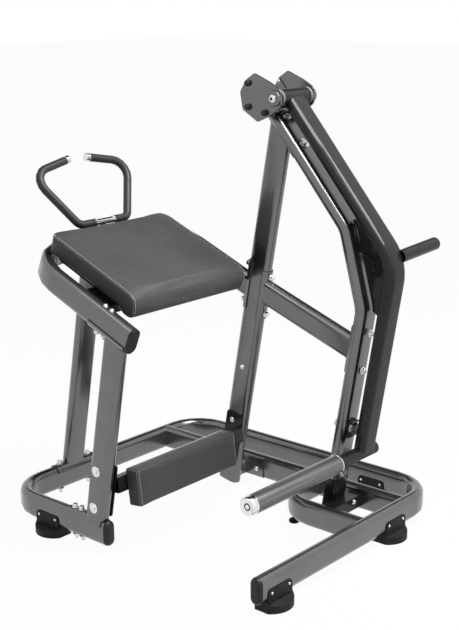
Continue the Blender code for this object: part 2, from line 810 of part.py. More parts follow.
def handlebar():
    """Bent bar with a stem welded below its middle."""
    right = handle_path((0, 0), HANDLE_END)
    path = [(-x, s) for x, s in reversed(right[1:])] + right
    bar = bent_bar("handlebar", path, HANDLE_R, PARTS)
    place(bar, handle_middle(), X_AXIS, HANDLE_UP)
    low = along_slope(GROUP_X, loop_bow(), TUBE_TALL / 4)
    fuse(bar, rod("handle_stem", low, handle_middle(), STEM_R, TOOLS))
    bow = along_slope(GROUP_X, loop_bow(), 0)
    cut(bar, sloping_tool("stem_bow_cope", bow, SLOPE_V, SLOPE_W, GAP))
    return zinc(bar)


def grip(name, side):
    """Sleeve over one side of the handlebar, open at both ends."""
    tip = Vector(HANDLE_END)
    tip = tip + (Vector(HANDLE_BENDS[1]) - tip).normalized() * GRIP_SETBACK
    path = [(side * x, s) for x, s in handle_path((GRIP_START, 0), tuple(tip))]
    if side < 0:
        path.reverse()
    sleeve = bent_bar(name, path, GRIP_R, PARTS, wall=GRIP_R - HANDLE_R - GAP)
    place(sleeve, handle_middle(), X_AXIS, HANDLE_UP)
    return rubber(sleeve)


# Tower

def upright_line(z):
    """Y of the main upright's centre line at a height."""
    return MAIN_POST_Y - math.tan(LEAN) * (z - RUN_Z)


def top_run_way():
    """Direction up the top run of the rear upright and the way its underside faces."""
    up = Vector((0, REAR_TOP[0] - REAR_TOP_BEND[0], REAR_TOP[1] - REAR_TOP_BEND[1])).normalized()
    under = Vector((0, up.z, -up.y))
    return up, under


def low_run_way():
    up = Vector((0, REAR_LOW_BEND[0] - REAR_FOOT[0], REAR_LOW_BEND[1] - REAR_FOOT[1])).normalized()
    front = Vector((0, up.z, -up.y))
    return up, front


def top_joint():
    """Where the main upright's centre line meets its joint plate under the rear upright's top run."""
    up, under = top_run_way()
    face = in_tower(REAR_TOP_BEND) + under * (TUBE_THIN / 2 + JOINT_PLATE + 2 * GAP)
    return meet(Vector((TOWER_X, MAIN_POST_Y, RUN_Z)), LEAN_UP, face, under)


def joint_plate(name, center, up, low, high):
    """Plate lying flat on the narrow side of the rear upright, reaching low and high of its centre."""
    half = JOINT_HALF
    outline = rounded([(-half, -low), (half, -low), (half, high), (-half, high)], 8 * MM, closed=True)
    plate = prism(name, [outline], JOINT_PLATE, PARTS)
    return frame_paint(place(plate, center, X_AXIS, up))


def main_upright():
    foot = Vector((TOWER_X, upright_line(MAIN_POST_FOOT), MAIN_POST_FOOT))
    top = top_joint()
    length = (top - foot).length + 2 * TUBE_TALL
    post = straight_tube("main_upright", length)
    place(post, foot + LEAN_UP * length / 2, X_AXIS, LEAN_OUT)
    up, under = top_run_way()
    tool = box("upright_top_cut", (4 * TUBE_TALL, 12 * TUBE_TALL, 6 * TUBE_TALL), TOOLS)
    place(tool, top - under * 3 * TUBE_TALL, X_AXIS, up)
    cut(post, tool)
    return frame_paint(post)


def top_plate():
    """Plate on the main upright's sloping top, bolted to the rear upright."""
    up, under = top_run_way()
    half = TUBE_TALL / 2 / LEAN_UP.cross(up).length
    center = top_joint() - under * (JOINT_PLATE / 2 + GAP)
    plate = joint_plate("top_plate", center, up, half + TOP_PLATE_MARGIN, half)
    return cut(plate, cross_tool("top_plate_cope"))


def rear_path():
    return rounded([REAR_FOOT, REAR_LOW_BEND, REAR_TOP_BEND, REAR_TOP], REAR_BEND)


def rear_upright():
    post = swept("rear_upright", rear_path(), PARTS, wall=WALL)
    place(post, (TOWER_X, 0, 0), Y_AXIS, Z_AXIS)
    cut(post, cross_tool("rear_upright_cope"))
    return frame_paint(post)


def cross_tool(name):
    tool = prism(name, [oval(GAP)], 2 * CHEEK_HALF, TOOLS)
    return place(tool, in_tower(CROSS), CROSS_WAY.cross(X_AXIS), CROSS_WAY)


def cross_tube():
    """Short tube across the top of the rear upright, between the cheeks."""
    tube = straight_tube("cross_tube", 2 * (CHEEK_HALF - GAP))
    place(tube, in_tower(CROSS), CROSS_WAY.cross(X_AXIS), CROSS_WAY)
    return frame_paint(tube)


def beam_joint():
    """Where the beam's centre line meets its joint plate on the rear upright's low run."""
    run_up, run_front = low_run_way()
    face = in_tower(REAR_FOOT) + run_front * (TUBE_THIN / 2 + JOINT_PLATE + 2 * GAP)
    return meet(in_tower(BEAM_AT), BEAM_WAY, face, run_front)


def beam():
    up = Vector((0, -BEAM_WAY.z, BEAM_WAY.y))
    run_up, run_front = low_run_way()
    joint = beam_joint()
    front = meet(in_tower(BEAM_AT), BEAM_WAY, Vector((TOWER_X, MAIN_POST_Y, RUN_Z)), LEAN_OUT)
    rear = joint - BEAM_WAY * TUBE_TALL
    tube = straight_tube("beam", (front - rear).length)
    place(tube, (front + rear) / 2, X_AXIS, up)
    cut(tube, leaning_tool("beam_front_cope", TOWER_X, MAIN_POST_Y, SADDLE + 2 * GAP))
    tool = box("beam_rear_cut", (4 * TUBE_TALL, 6 * TUBE_TALL, 4 * TUBE_TALL), TOOLS)
    place(tool, joint - run_front * 2 * TUBE_TALL, X_AXIS, run_up)
    cut(tube, tool)
    return frame_paint(tube)


def beam_plate():
    run_up, run_front = low_run_way()
    half = TUBE_TALL / 2 / BEAM_WAY.cross(run_up).length + BEAM_PLATE_MARGIN
    return joint_plate("beam_plate", beam_joint() - run_front * (JOINT_PLATE / 2 + GAP), run_up, half, half)


def upright_saddles():
    """Saddles on both sides of the main upright, for the beam and for the pad loop's right leg."""
    foot = Vector((TOWER_X, MAIN_POST_Y, RUN_Z))
    loop = meet(along_slope(TOWER_X, 0, 0), SLOPE_V, foot + LEAN_OUT * TUBE_TALL / 2, LEAN_OUT)
    rear_at = (TOWER_X, upright_line(BEAM_AT[1]), BEAM_AT[1])
    front_at = (TOWER_X, upright_line(loop.z), loop.z)
    rear = saddle("beam_saddle", rear_at, -X_AXIS, -LEAN_OUT, TOWER_SADDLE_LONG, END_BOLTS)
    front = saddle("loop_saddle", front_at, X_AXIS, LEAN_OUT, TOWER_SADDLE_LONG, END_BOLTS)
    return rear, front


def cheek(name, side):
    corners = [(y * MM, z * MM) for y, z in CHEEK_CORNERS]
    radii = [r * MM for r in CHEEK_RADII]
    outline = rounded(corners, radii, closed=True, steps=5)
    hole = arc(PIVOT, SHAFT_R + GAP, 0, 345, 23)
    plate = prism(name, [outline, hole], CHEEK_THICK, PARTS)
    x = TOWER_X + side * (CHEEK_HALF + CHEEK_THICK / 2)
    place(plate, (x, 0, 0), Y_AXIS, Z_AXIS)
    return frame_paint(plate)


def stud_cap(name, side, at):
    face = CHEEK_HALF + CHEEK_THICK + GAP
    shares = ((0, 1), (0.5, 0.94), (0.87, 0.7), (1, 0.35), (1, 0), (0, 0))
    profile = [(STUD_R * across, STUD_HIGH * up) for across, up in shares]
    cap = turned(name, profile, PARTS, steps=16)
    place(cap, in_tower(at, TOWER_X + side * face), Y_AXIS * side, Z_AXIS)
    return rubber(cap)


def pivot_cap(name, side):
    """Round cover on the outside of a cheek, bored for the shaft."""
    face = CHEEK_HALF + CHEEK_THICK + GAP
    bore = SHAFT_R + GAP
    thick = PIVOT_CAP_THICK
    profile = [(HUB_R - 3 * MM, thick), (HUB_R, thick - 3 * MM), (HUB_R, 0), (bore, 0), (bore, thick)]
    cap = turned(name, profile, PARTS, closed=True)
    place(cap, in_tower(PIVOT, TOWER_X + side * face), Y_AXIS * side, Z_AXIS)
    return frame_paint(cap)


def pivot_shaft():
    half = CHEEK_HALF + CHEEK_THICK + PIVOT_CAP_THICK + 2 * GAP
    head = [(0, half + 9 * MM), (SHAFT_HEAD_R / 2, half + 8 * MM), (SHAFT_HEAD_R, half + 3 * MM)]
    head.append((SHAFT_HEAD_R, half))
    profile = head + [(SHAFT_R, half)]
    profile += [(x, -z) for x, z in reversed(profile)]
    shaft = turned("pivot_shaft", profile, PARTS)
    place(shaft, in_tower(PIVOT), Y_AXIS, Z_AXIS)
    return zinc(shaft)


def bumper_parts():
    """Rubber stop on the rear upright that the lever rests against."""
    up, front = low_run_way()
    lever_up = lever_low_way()
    face = in_tower(REAR_FOOT) + up * BUMPER_AT - front * (TUBE_THIN / 2 + GAP)
    room = (face - in_tower(FOOT_BAR)).dot(Vector((0, lever_up.z, -lever_up.y))) - TUBE_THIN / 2
    half = BRACKET_HALF
    outline = rounded([(-half, -38 * MM), (half, -38 * MM), (half, 32 * MM), (-half, 32 * MM)], 7 * MM, closed=True)
    bracket = prism("bumper_bracket", [outline], BRACKET_THICK, PARTS)
    place(bracket, face - front * BRACKET_THICK / 2, X_AXIS, up)
    length = room - BRACKET_THICK - 3 * GAP
    profile = [(0, length), (BUMPER_R - 5 * MM, length), (BUMPER_R - 2 * MM, length - 4 * MM)]
    profile += [(BUMPER_R, 5 * MM), (BUMPER_R - 3 * MM, 0), (0, 0)]
    stop = turned("bumper", profile, PARTS, steps=24)
    place(stop, face - front * (BRACKET_THICK + GAP), X_AXIS, up)
    return black_paint(bracket), rubber(stop)


def upright_shoe():
    """Black bridge between the inner loop and the rail, with a collar round the rear upright's foot."""
    left = INNER_X + TUBE_THIN / 2 + GAP
    right = RAIL_X - TUBE_THIN / 2 - GAP
    run_up, run_front = low_run_way()
    foot = in_tower(REAR_FOOT)
    shoe = box("upright_shoe", (right - left, SHOE_DEEP, SHOE_TALL), PARTS)
    shoe.location = ((left + right) / 2, foot.y - SHOE_BACK, RUN_Z)
    collar = prism("upright_collar", [turned_quarter(oval(GAP + COLLAR_WALL))], COLLAR_HIGH, TOOLS)
    place(collar, foot + run_up * COLLAR_HIGH / 2, X_AXIS, run_front)
    fuse(shoe, collar)
    room = prism("upright_room", [turned_quarter(oval(GAP))], 3 * TUBE_TALL, TOOLS)
    place(room, foot + run_up * TUBE_TALL, X_AXIS, run_front)
    cut(shoe, room)
    return black_paint(shoe)


def rail_bridge():
    """Short tube from the main upright's foot to the rail, ending in a plate that hugs the rail's side."""
    y = upright_line(RUN_Z)
    left = TOWER_X + TUBE_THIN / 2 + GAP
    right = RAIL_X - TUBE_THIN / 2 - GAP
    bridge = box("rail_bridge", (right - left, BRIDGE_DEEP, BRIDGE_TALL), PARTS)
    bridge.location = ((left + right) / 2, y, RUN_Z)
    plate = prism("rail_bridge_plate", [oval(SADDLE + GAP), oval(GAP)], BRIDGE_PLATE_LONG, TOOLS)
    place(plate, (RAIL_X, y, RUN_Z), X_AXIS, Z_AXIS)
    keep = box("rail_bridge_keep", (40 * MM, 2 * BRIDGE_PLATE_LONG, BRIDGE_PLATE_TALL), TOOLS)
    keep.location = (RAIL_X - TUBE_THIN / 2 - 6 * MM, y, RUN_Z)
    combine(plate, keep, "INTERSECT")
    fuse(bridge, plate)
    return frame_paint(bridge)


# Shin pad between the left post and the main upright

def shin_pad():
    width, depth, height = SHIN_SIZE
    corners = [(-depth / 2, -height / 2), (depth / 2, -height / 2), (depth / 2, height / 2), (-depth / 2, height / 2)]
    outline = rounded(corners, [9 * MM, 5 * MM, 5 * MM, 9 * MM], closed=True, steps=3)
    pad = lofted_cushion("shin_pad", outline, width, 0, SHIN_CROWN, 0)
    place(pad, (SHIN_X, SHIN_FACE_Y + depth / 2, SHIN_Z), X_AXIS, SHIN_WAY)
    return leather(pad)


def shin_crossbar():
    """Box tube behind the shin pad, between the two side plates."""
    left = -BASE_HALF + TUBE_THIN / 2 + SHIN_SIDE_THICK + 2 * GAP
    right = TOWER_X - TUBE_THIN / 2 - SHIN_SIDE_THICK - 2 * GAP
    depth = SHIN_SIZE[1]
    loops = []
    for inset, radius in ((0, 5 * MM), (SHIN_BAR_WALL, 2 * MM)):
        a = SHIN_BAR[0] / 2 - inset
        b = SHIN_BAR[1] / 2 - inset
        loops.append(rounded([(-a, -b), (a, -b), (a, b), (-a, b)], radius, closed=True, steps=3))
    bar = prism("shin_crossbar", loops, right - left, PARTS)
    up = Vector((0, -SHIN_WAY.z, SHIN_WAY.y))
    center = Vector(((left + right) / 2, SHIN_FACE_Y + depth / 2, SHIN_Z))
    center += SHIN_WAY * (depth / 2 + SHIN_BAR[0] / 2 + GAP) + up * SHIN_BAR_RAISE
    place(bar, center, SHIN_WAY, up)
    return black_paint(bar)


def shin_side(name, x, post_y, way):
    """Plate bolted flat to the inner face of a post."""
    y = post_y - math.tan(LEAN) * (SHIN_SIDE_Z - RUN_Z)
    half = SHIN_SIDE_HALF
    back, front = SHIN_SIDE_BACK, SHIN_SIDE_FRONT
    outline = rounded([(-back, -half), (front, -half), (front, half), (-back, half)], 8 * MM, closed=True, steps=3)
    plate = prism(name, [outline], SHIN_SIDE_THICK, PARTS)
    place(plate, (x + way * (SHIN_SIDE_THICK / 2 + GAP), y, SHIN_SIDE_Z), LEAN_OUT, LEAN_UP)
    return black_paint(plate)


# Lever

def lever_path():
    return rounded([PIVOT, LEVER_BEND_AT, FOOT_BAR], LEVER_RADIUS, steps=10)


def lever_low_way():
    return Vector((0, LEVER_BEND_AT[0] - FOOT_BAR[0], LEVER_BEND_AT[1] - FOOT_BAR[1])).normalized()


def cross_rod(name, at, radius):
    reach = TUBE_TALL
    start = in_tower(at, TOWER_X - reach)
    return rod(name, start, start + 2 * reach * X_AXIS, radius, TOOLS, side=Y_AXIS)


def lever_tube():
    lever = swept("lever_tube", lever_path(), PARTS, wall=WALL)
    place(lever, (TOWER_X, 0, 0), Y_AXIS, Z_AXIS)
    cut(lever, cross_rod("lever_hub_cope", PIVOT, HUB_R + GAP))
    cut(lever, cross_rod("lever_bar_cope", FOOT_BAR, BAR_R + GAP))
    return black_paint(lever)


def offset_path(path, reach):
    """A flat path moved sideways, to its left, by reach."""
    moved = []
    for i, point in enumerate(path):
        before = Vector(path[max(i - 1, 0)])
        after = Vector(path[min(i + 1, len(path) - 1)])
        way = (after - before).normalized()
        moved.append((point[0] - way.y * reach, point[1] + way.x * reach))
    return moved


def gusset():
    """Web plate in the crook of the lever, clear of the rear upright, with a round notch."""
    lever_edge = offset_path(lever_path(), TUBE_THIN / 2 + GAP)
    rear_edge = offset_path(rear_path(), TUBE_THIN / 2 + GUSSET_GAP)
    outline = clip_path(lever_edge, GUSSET_HIGH, GUSSET_LOW)
    far_side = clip_path(list(reversed(rear_edge)), GUSSET_HIGH - 30 * MM, GUSSET_LOW + 24 * MM)
    outline += list(reversed(far_side))
    plate = prism("gusset", [outline], GUSSET_THICK, PARTS)
    place(plate, (TOWER_X, 0, 0), Y_AXIS, Z_AXIS)
    cut(plate, cross_rod("gusset_notch", NOTCH_AT, NOTCH_R))
    return black_paint(plate)


def clip_path(path, high, low):
    """The part of a falling path between two heights, cut square at both."""
    kept = []
    for (y0, z0), (y1, z1) in zip(path, path[1:]):
        for level in (high, low):
            if z0 > level >= z1:
                share = (z0 - level) / (z0 - z1)
                kept.append((y0 + (y1 - y0) * share, level))
        if low < z1 < high:
            kept.append((y1, z1))
    return kept


def hub():
    """Bored barrel with a wider bearing collar at each end, welded to the lever."""
    bore = SHAFT_R + GAP
    step = CHEEK_HALF - 22 * MM
    end = CHEEK_HALF - GAP
    rim = HUB_R + 1.5 * MM
    profile = [(rim - 2 * MM, end), (rim, end - 2 * MM), (rim, step), (HUB_R, step)]
    profile += [(x, -z) for x, z in reversed(profile)]
    profile += [(bore, -end), (bore, end)]
    piece = turned("hub", profile, PARTS, closed=True)
    place(piece, in_tower(PIVOT), Y_AXIS, Z_AXIS)
    return black_paint(piece)


def foot_bar():
    """Thick bar under the lever that steps down to the roller's axle."""
    profile = [(0, BAR_FAR), (BAR_R - 3 * MM, BAR_FAR), (BAR_R, BAR_FAR - 3 * MM), (BAR_R, ROLLER_FAR + GAP)]
    profile += [(AXLE_R, ROLLER_FAR + GAP), (AXLE_R, ROLLER_NEAR - AXLE_END), (0, ROLLER_NEAR - AXLE_END)]
    bar = turned("foot_bar", profile, PARTS)
    place(bar, in_tower(FOOT_BAR, 0), Y_AXIS, Z_AXIS)
    return black_paint(bar)


def roller():
    bore = AXLE_R + GAP
    profile = [(ROLLER_R - 3 * MM, ROLLER_FAR), (ROLLER_R, ROLLER_FAR - 3 * MM)]
    profile += [(ROLLER_R, ROLLER_NEAR + 3 * MM), (ROLLER_R - 3 * MM, ROLLER_NEAR)]
    profile += [(bore, ROLLER_NEAR), (bore, ROLLER_FAR)]
    sleeve = turned("roller", profile, PARTS, closed=True)
    place(sleeve, in_tower(FOOT_BAR, 0), Y_AXIS, Z_AXIS)
    return rubber(sleeve)


def roller_cap():
    """Bright cap screwed on the end of the axle, outside the roller."""
    start = ROLLER_NEAR - GAP
    end = start - ROLLER_CAP_LONG
    bore = AXLE_R + GAP
    floor = ROLLER_NEAR - AXLE_END - GAP
    rim = ROLLER_CAP_R
    profile = [(0, floor), (bore, floor), (bore, start), (rim - 2 * MM, start), (rim, start - 3 * MM)]
    profile += [(rim, end + 6 * MM), (rim - 6 * MM, end), (0, end)]
    cap = turned("roller_cap", profile, PARTS)
    place(cap, in_tower(FOOT_BAR, 0), Y_AXIS, Z_AXIS)
    return zinc(cap)


def horn_way():
    return Vector((math.cos(HORN_RISE), 0, math.sin(HORN_RISE)))


def horn_end():
    return in_tower(HORN_AT, TOWER_X + TUBE_TALL / 2) + horn_way() * HORN_LENGTH


def weight_horn():
    """Sleeve for weight plates on the outer edge of the lever's bend."""
    length = HORN_LENGTH + 22 * MM
    bore = HORN_R - HORN_WALL
    horn = turned("weight_horn", [(HORN_R, 0), (HORN_R, -length), (bore, -length), (bore, 0)], PARTS, closed=True)
    place(horn, horn_end(), Y_AXIS, horn_way().cross(Y_AXIS))
    lever = swept("horn_cope", lever_path(), TOOLS, grow=GAP)
    place(lever, (TOWER_X, 0, 0), Y_AXIS, Z_AXIS)
    cut(horn, lever)
    return black_paint(horn)


def horn_cap():
    plug = HORN_R - HORN_WALL - GAP
    profile = [(0, 8 * MM), (HORN_R - 8 * MM, 8 * MM), (HORN_R - 1 * MM, 3 * MM), (HORN_R - 1 * MM, GAP)]
    profile += [(plug, GAP), (plug, -18 * MM), (0, -18 * MM)]
    cap = turned("horn_cap", profile, PARTS)
    return rubber(place(cap, horn_end(), Y_AXIS, horn_way().cross(Y_AXIS)))


def build_frame():
    pieces = [base_tube()]
    pieces.append(end_cap("left_run_cap", (-BASE_HALF, LEFT_END_Y, RUN_Z), X_AXIS, Z_AXIS))
    pieces.append(end_cap("rear_run_cap", (REAR_END_X, REAR_Y, RUN_Z), -Y_AXIS, Z_AXIS))
    pieces.append(middle_rail())
    pieces.append(inner_loop())
    pieces.append(saddle_foot("foot_left", -BASE_HALF, FOOT_LEFT_Y, -X_AXIS))
    pieces.append(saddle_foot("foot_rear_left", FOOT_REAR_X[0], REAR_Y, -Y_AXIS))
    pieces.append(saddle_foot("foot_rear_right", FOOT_REAR_X[1], REAR_Y, -Y_AXIS))
    pieces.append(saddle_foot("foot_right", BASE_HALF, FOOT_RIGHT_Y, X_AXIS))
    pieces.append(levelling_foot())
    pieces.append(left_post())
    pieces.append(rear_post())
    pieces.extend(post_saddles())
    pieces.append(pad_loop())
    pieces.append(end_cap("loop_cap", along_slope(-BASE_HALF, LOOP_END, 0), X_AXIS, SLOPE_W))
    pieces.append(pad_crossbar("hip_crossbar", HIP_BAR_V, HIP_BAR_WIDE, loop_span()))
    head_bar_v = loop_bow() - TUBE_THIN / 2 - HEAD_BAR_WIDE / 2
    pieces.append(pad_crossbar("head_crossbar", head_bar_v, HEAD_BAR_WIDE, loop_span() - 2 * LOOP_BEND))
    pieces.append(chest_board())
    pieces.append(chest_pad())
    pieces.append(handlebar())
    pieces.append(grip("grip_left", -1))
    pieces.append(grip("grip_right", 1))
    pieces.append(main_upright())
    pieces.append(top_plate())
    pieces.append(rear_upright())
    pieces.append(cross_tube())
    pieces.append(beam())
    pieces.append(beam_plate())
    pieces.extend(upright_saddles())
    for name, side in (("near", -1), ("far", 1)):
        pieces.append(cheek(f"cheek_{name}", side))
        pieces.append(pivot_cap(f"pivot_cap_{name}", side))
        for i, at in enumerate(STUDS):
            pieces.append(stud_cap(f"stud_cap_{name}_{i + 1}", side, at))
    pieces.append(pivot_shaft())
    pieces.extend(bumper_parts())
    pieces.append(upright_shoe())
    pieces.append(rail_bridge())
    pieces.append(shin_pad())
    pieces.append(shin_crossbar())
    pieces.append(shin_side("shin_side_left", -BASE_HALF + TUBE_THIN / 2, LEFT_POST_Y, 1))
    pieces.append(shin_side("shin_side_right", TOWER_X - TUBE_THIN / 2, MAIN_POST_Y, -1))
    return pieces


def build_lever():
    swing = bpy.data.objects.new("lever_axis", None)
    swing.location = in_tower(PIVOT)
    PARTS.objects.link(swing)
    spin = bpy.data.objects.new("roller_axis", None)
    spin.location = in_tower(FOOT_BAR)
    PARTS.objects.link(spin)
    bpy.context.view_layer.update()
    hang_on(spin, swing)
    for piece in (lever_tube(), gusset(), hub(), foot_bar(), roller_cap(), weight_horn(), horn_cap()):
        hang_on(piece, swing)
    hang_on(roller(), spin)


def shade(obj):
    if obj.type == "MESH":
        obj.data.shade_smooth()
        obj.data.set_sharp_from_angle(angle=math.radians(40))


clear_scene()
PARTS = new_collection("glute_kickback_machine")
TOOLS = new_collection("cutters")
TOOLS.hide_render = True
build_frame()
build_lever()
for part in PARTS.objects:
    shade(part)
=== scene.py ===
import json
import math
import bpy
from mathutils import Matrix, Vector


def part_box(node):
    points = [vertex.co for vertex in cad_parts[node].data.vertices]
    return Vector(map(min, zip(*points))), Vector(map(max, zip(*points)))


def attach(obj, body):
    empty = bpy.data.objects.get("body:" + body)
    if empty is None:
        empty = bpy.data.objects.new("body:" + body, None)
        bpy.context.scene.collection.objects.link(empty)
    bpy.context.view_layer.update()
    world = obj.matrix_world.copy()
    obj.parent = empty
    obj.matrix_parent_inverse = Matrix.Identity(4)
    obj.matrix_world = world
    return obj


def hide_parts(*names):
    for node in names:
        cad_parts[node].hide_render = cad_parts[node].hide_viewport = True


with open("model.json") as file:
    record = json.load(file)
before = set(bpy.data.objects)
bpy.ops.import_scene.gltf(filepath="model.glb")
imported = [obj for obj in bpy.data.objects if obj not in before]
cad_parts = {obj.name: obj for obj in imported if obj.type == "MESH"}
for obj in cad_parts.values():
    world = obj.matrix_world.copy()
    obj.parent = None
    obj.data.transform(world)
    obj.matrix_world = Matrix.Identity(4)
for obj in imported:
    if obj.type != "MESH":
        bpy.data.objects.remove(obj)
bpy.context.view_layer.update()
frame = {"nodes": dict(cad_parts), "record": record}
print("frame loaded")


# Camera, at the photograph's place and angle
view = {"place": (-3.3499, -2.9729, 1.9884), "turn": -48.754, "rise": 14.58, "roll": -0.5,
        "focalPixels": 1212.27, "imageHeight": 630}


def addCamera():
    turn, rise, roll = (math.radians(view[k]) for k in ("turn", "rise", "roll"))
    back = Vector((math.sin(turn) * math.cos(rise), -math.cos(turn) * math.cos(rise), math.sin(rise)))
    right = Vector((math.cos(turn), math.sin(turn), 0))
    up = back.cross(right)
    rolledRight = right * math.cos(roll) + up * math.sin(roll)
    rolledUp = up * math.cos(roll) - right * math.sin(roll)
    data = bpy.data.cameras.new("photoCamera")
    data.sensor_fit = "VERTICAL"
    data.lens = data.sensor_height * view["focalPixels"] / view["imageHeight"]
    camera = bpy.data.objects.new("photoCamera", data)
    bpy.context.scene.collection.objects.link(camera)
    camera.location = view["place"]
    camera.rotation_euler = Matrix((rolledRight, rolledUp, back)).transposed().to_euler()
    bpy.context.scene.camera = camera


addCamera()
print("camera placed")


# Studio: pale floor, white surroundings and soft lamps as (name, place, target, width, height, watts)
studio = {"ambient": 0.16, "floorColor": (0.62, 0.62, 0.62), "floorWhite": 0.96, "floorSize": 90,
          "floorRough": 0.7, "flagColor": (0.01, 0.01, 0.01),
          "lamps": [("overhead", (0.4, -1.6, 4.0), (0, 0, 0.6), 2.4, 2.0, 265),
                    ("keyStrip", (-1.52, -2.52, 4.1), (0.2, -0.4, 1.2), 0.5, 0.9, 3),
                    ("edgeStrip", (-2.3, 0.75, 4.0), (-0.5, 0.1, 0.9), 0.9, 0.6, 5.5),
                    ("cameraSide", (0.6, -5.0, 2.8), (0, 0, 0.8), 1.6, 2.4, 12)],
          "flags": [("farFlag", (3.4, 3.0, 3.8), (0, 0, 2.0), 7.5, 2.0),
                    ("roofFlag", (1.6, 1.4, 4.6), (0, 0, 0), 5.0, 4.0)]}


def addLamp(name, place, target, width, height, power):
    data = bpy.data.lights.new(name, "AREA")
    data.shape = "RECTANGLE"
    data.size = width
    data.size_y = height
    data.energy = power
    lamp = bpy.data.objects.new(name, data)
    bpy.context.scene.collection.objects.link(lamp)
    lamp.location = place
    lamp.rotation_euler = (Vector(place) - Vector(target)).to_track_quat("Z", "Y").to_euler()


def addFlag(name, place, target, width, height):
    # A black card that only mirror rays see, for the dark line beside a highlight
    bpy.ops.object.select_all(action="DESELECT")
    bpy.ops.mesh.primitive_plane_add(size=1, location=(0, 0, 0))
    card = bpy.context.object
    card.name = name
    card.scale = (width, height, 1)
    card.location = place
    card.rotation_euler = (Vector(place) - Vector(target)).to_track_quat("Z", "Y").to_euler()
    for sight in ("camera", "diffuse", "shadow", "transmission", "volume_scatter"):
        setattr(card, "visible_" + sight, False)
    mat = bpy.data.materials.new(name)
    mat.use_nodes = True
    shader = mat.node_tree.nodes["Principled BSDF"]
    shader.inputs["Base Color"].default_value = (*studio["flagColor"], 1)
    shader.inputs["Roughness"].default_value = 1.0
    shader.inputs["Specular IOR Level"].default_value = 0.0
    card.data.materials.append(mat)


def seenWhite(nodes, links, share=1.0):
    # 1 for the rays that show the background: camera, mirror and glass rays
    rays = nodes.new("ShaderNodeLightPath")
    first = nodes.new("ShaderNodeMath")
    first.operation = "MAXIMUM"
    links.new(rays.outputs["Is Camera Ray"], first.inputs[0])
    links.new(rays.outputs["Is Glossy Ray"], first.inputs[1])
    second = nodes.new("ShaderNodeMath")
    second.operation = "MAXIMUM"
    links.new(first.outputs[0], second.inputs[0])
    links.new(rays.outputs["Is Transmission Ray"], second.inputs[1])
    scaled = nodes.new("ShaderNodeMath")
    scaled.operation = "MULTIPLY"
    scaled.inputs[1].default_value = share
    links.new(second.outputs[0], scaled.inputs[0])
    return scaled.outputs[0]


def floorMaterial():
    mat = bpy.data.materials.new("paleFloor")
    mat.use_nodes = True
    nodes, links = mat.node_tree.nodes, mat.node_tree.links
    shader = nodes["Principled BSDF"]
    shader.inputs["Base Color"].default_value = (*studio["floorColor"], 1)
    shader.inputs["Roughness"].default_value = studio["floorRough"]
    white = nodes.new("ShaderNodeEmission")
    white.inputs["Color"].default_value = (1, 1, 1, 1)
    white.inputs["Strength"].default_value = 1.0
    mix = nodes.new("ShaderNodeMixShader")
    links.new(seenWhite(nodes, links, studio["floorWhite"]), mix.inputs[0])
    links.new(shader.outputs[0], mix.inputs[1])
    links.new(white.outputs[0], mix.inputs[2])
    links.new(mix.outputs[0], nodes["Material Output"].inputs["Surface"])
    return mat


def addStudio():
    for lamp in studio["lamps"]:
        addLamp(*lamp)
    for flag in studio["flags"]:
        addFlag(*flag)
    world = bpy.data.worlds.new("studioWorld")
    bpy.context.scene.world = world
    world.use_nodes = True
    nodes, links = world.node_tree.nodes, world.node_tree.links
    nodes.clear()
    out = nodes.new("ShaderNodeOutputWorld")
    seen = nodes.new("ShaderNodeBackground")
    seen.inputs["Color"].default_value = (1, 1, 1, 1)
    seen.inputs["Strength"].default_value = 1.0
    lit = nodes.new("ShaderNodeBackground")
    lit.inputs["Color"].default_value = (1, 1, 1, 1)
    lit.inputs["Strength"].default_value = studio["ambient"]
    mix = nodes.new("ShaderNodeMixShader")
    links.new(seenWhite(nodes, links), mix.inputs[0])
    links.new(lit.outputs[0], mix.inputs[1])
    links.new(seen.outputs[0], mix.inputs[2])
    links.new(mix.outputs[0], out.inputs["Surface"])
    bpy.ops.object.select_all(action="DESELECT")
    bpy.ops.mesh.primitive_plane_add(size=studio["floorSize"], location=(0, 0, 0))
    floor = bpy.context.object
    floor.name = "studioFloor"
    floor.data.materials.append(floorMaterial())


bpy.context.scene.view_settings.view_transform = "Standard"
addStudio()
print("studio lit")


# Materials: every finish has its own grain, colour drift and gloss
def startMaterial(name, color, metallic, roughness):
    mat = bpy.data.materials.new(name)
    mat.use_nodes = True
    shader = mat.node_tree.nodes["Principled BSDF"]
    shader.inputs["Base Color"].default_value = (*color, 1)
    shader.inputs["Metallic"].default_value = metallic
    shader.inputs["Roughness"].default_value = roughness
    where = mat.node_tree.nodes.new("ShaderNodeTexCoord")
    return mat, mat.node_tree.nodes, mat.node_tree.links, shader, where.outputs["Object"]


def addNoise(nodes, links, where, scale, detail=3, rough=0.5, stretch=None):
    noise = nodes.new("ShaderNodeTexNoise")
    noise.inputs["Scale"].default_value = scale
    noise.inputs["Detail"].default_value = detail
    noise.inputs["Roughness"].default_value = rough
    if stretch:
        mapping = nodes.new("ShaderNodeMapping")
        mapping.inputs["Scale"].default_value = stretch
        links.new(where, mapping.inputs["Vector"])
        where = mapping.outputs[0]
    links.new(where, noise.inputs["Vector"])
    return noise.outputs["Fac"]


def addRange(nodes, links, source, low, high, fromLow=0.3, fromHigh=0.7):
    step = nodes.new("ShaderNodeMapRange")
    step.inputs["From Min"].default_value = fromLow
    step.inputs["From Max"].default_value = fromHigh
    step.inputs["To Min"].default_value = low
    step.inputs["To Max"].default_value = high
    links.new(source, step.inputs["Value"])
    return step.outputs["Result"]


def mixColors(nodes, links, share, first, second):
    mix = nodes.new("ShaderNodeMix")
    mix.data_type = "RGBA"
    mix.inputs["A"].default_value = (*first, 1)
    mix.inputs["B"].default_value = (*second, 1)
    links.new(share, mix.inputs["Factor"])
    return mix.outputs["Result"]


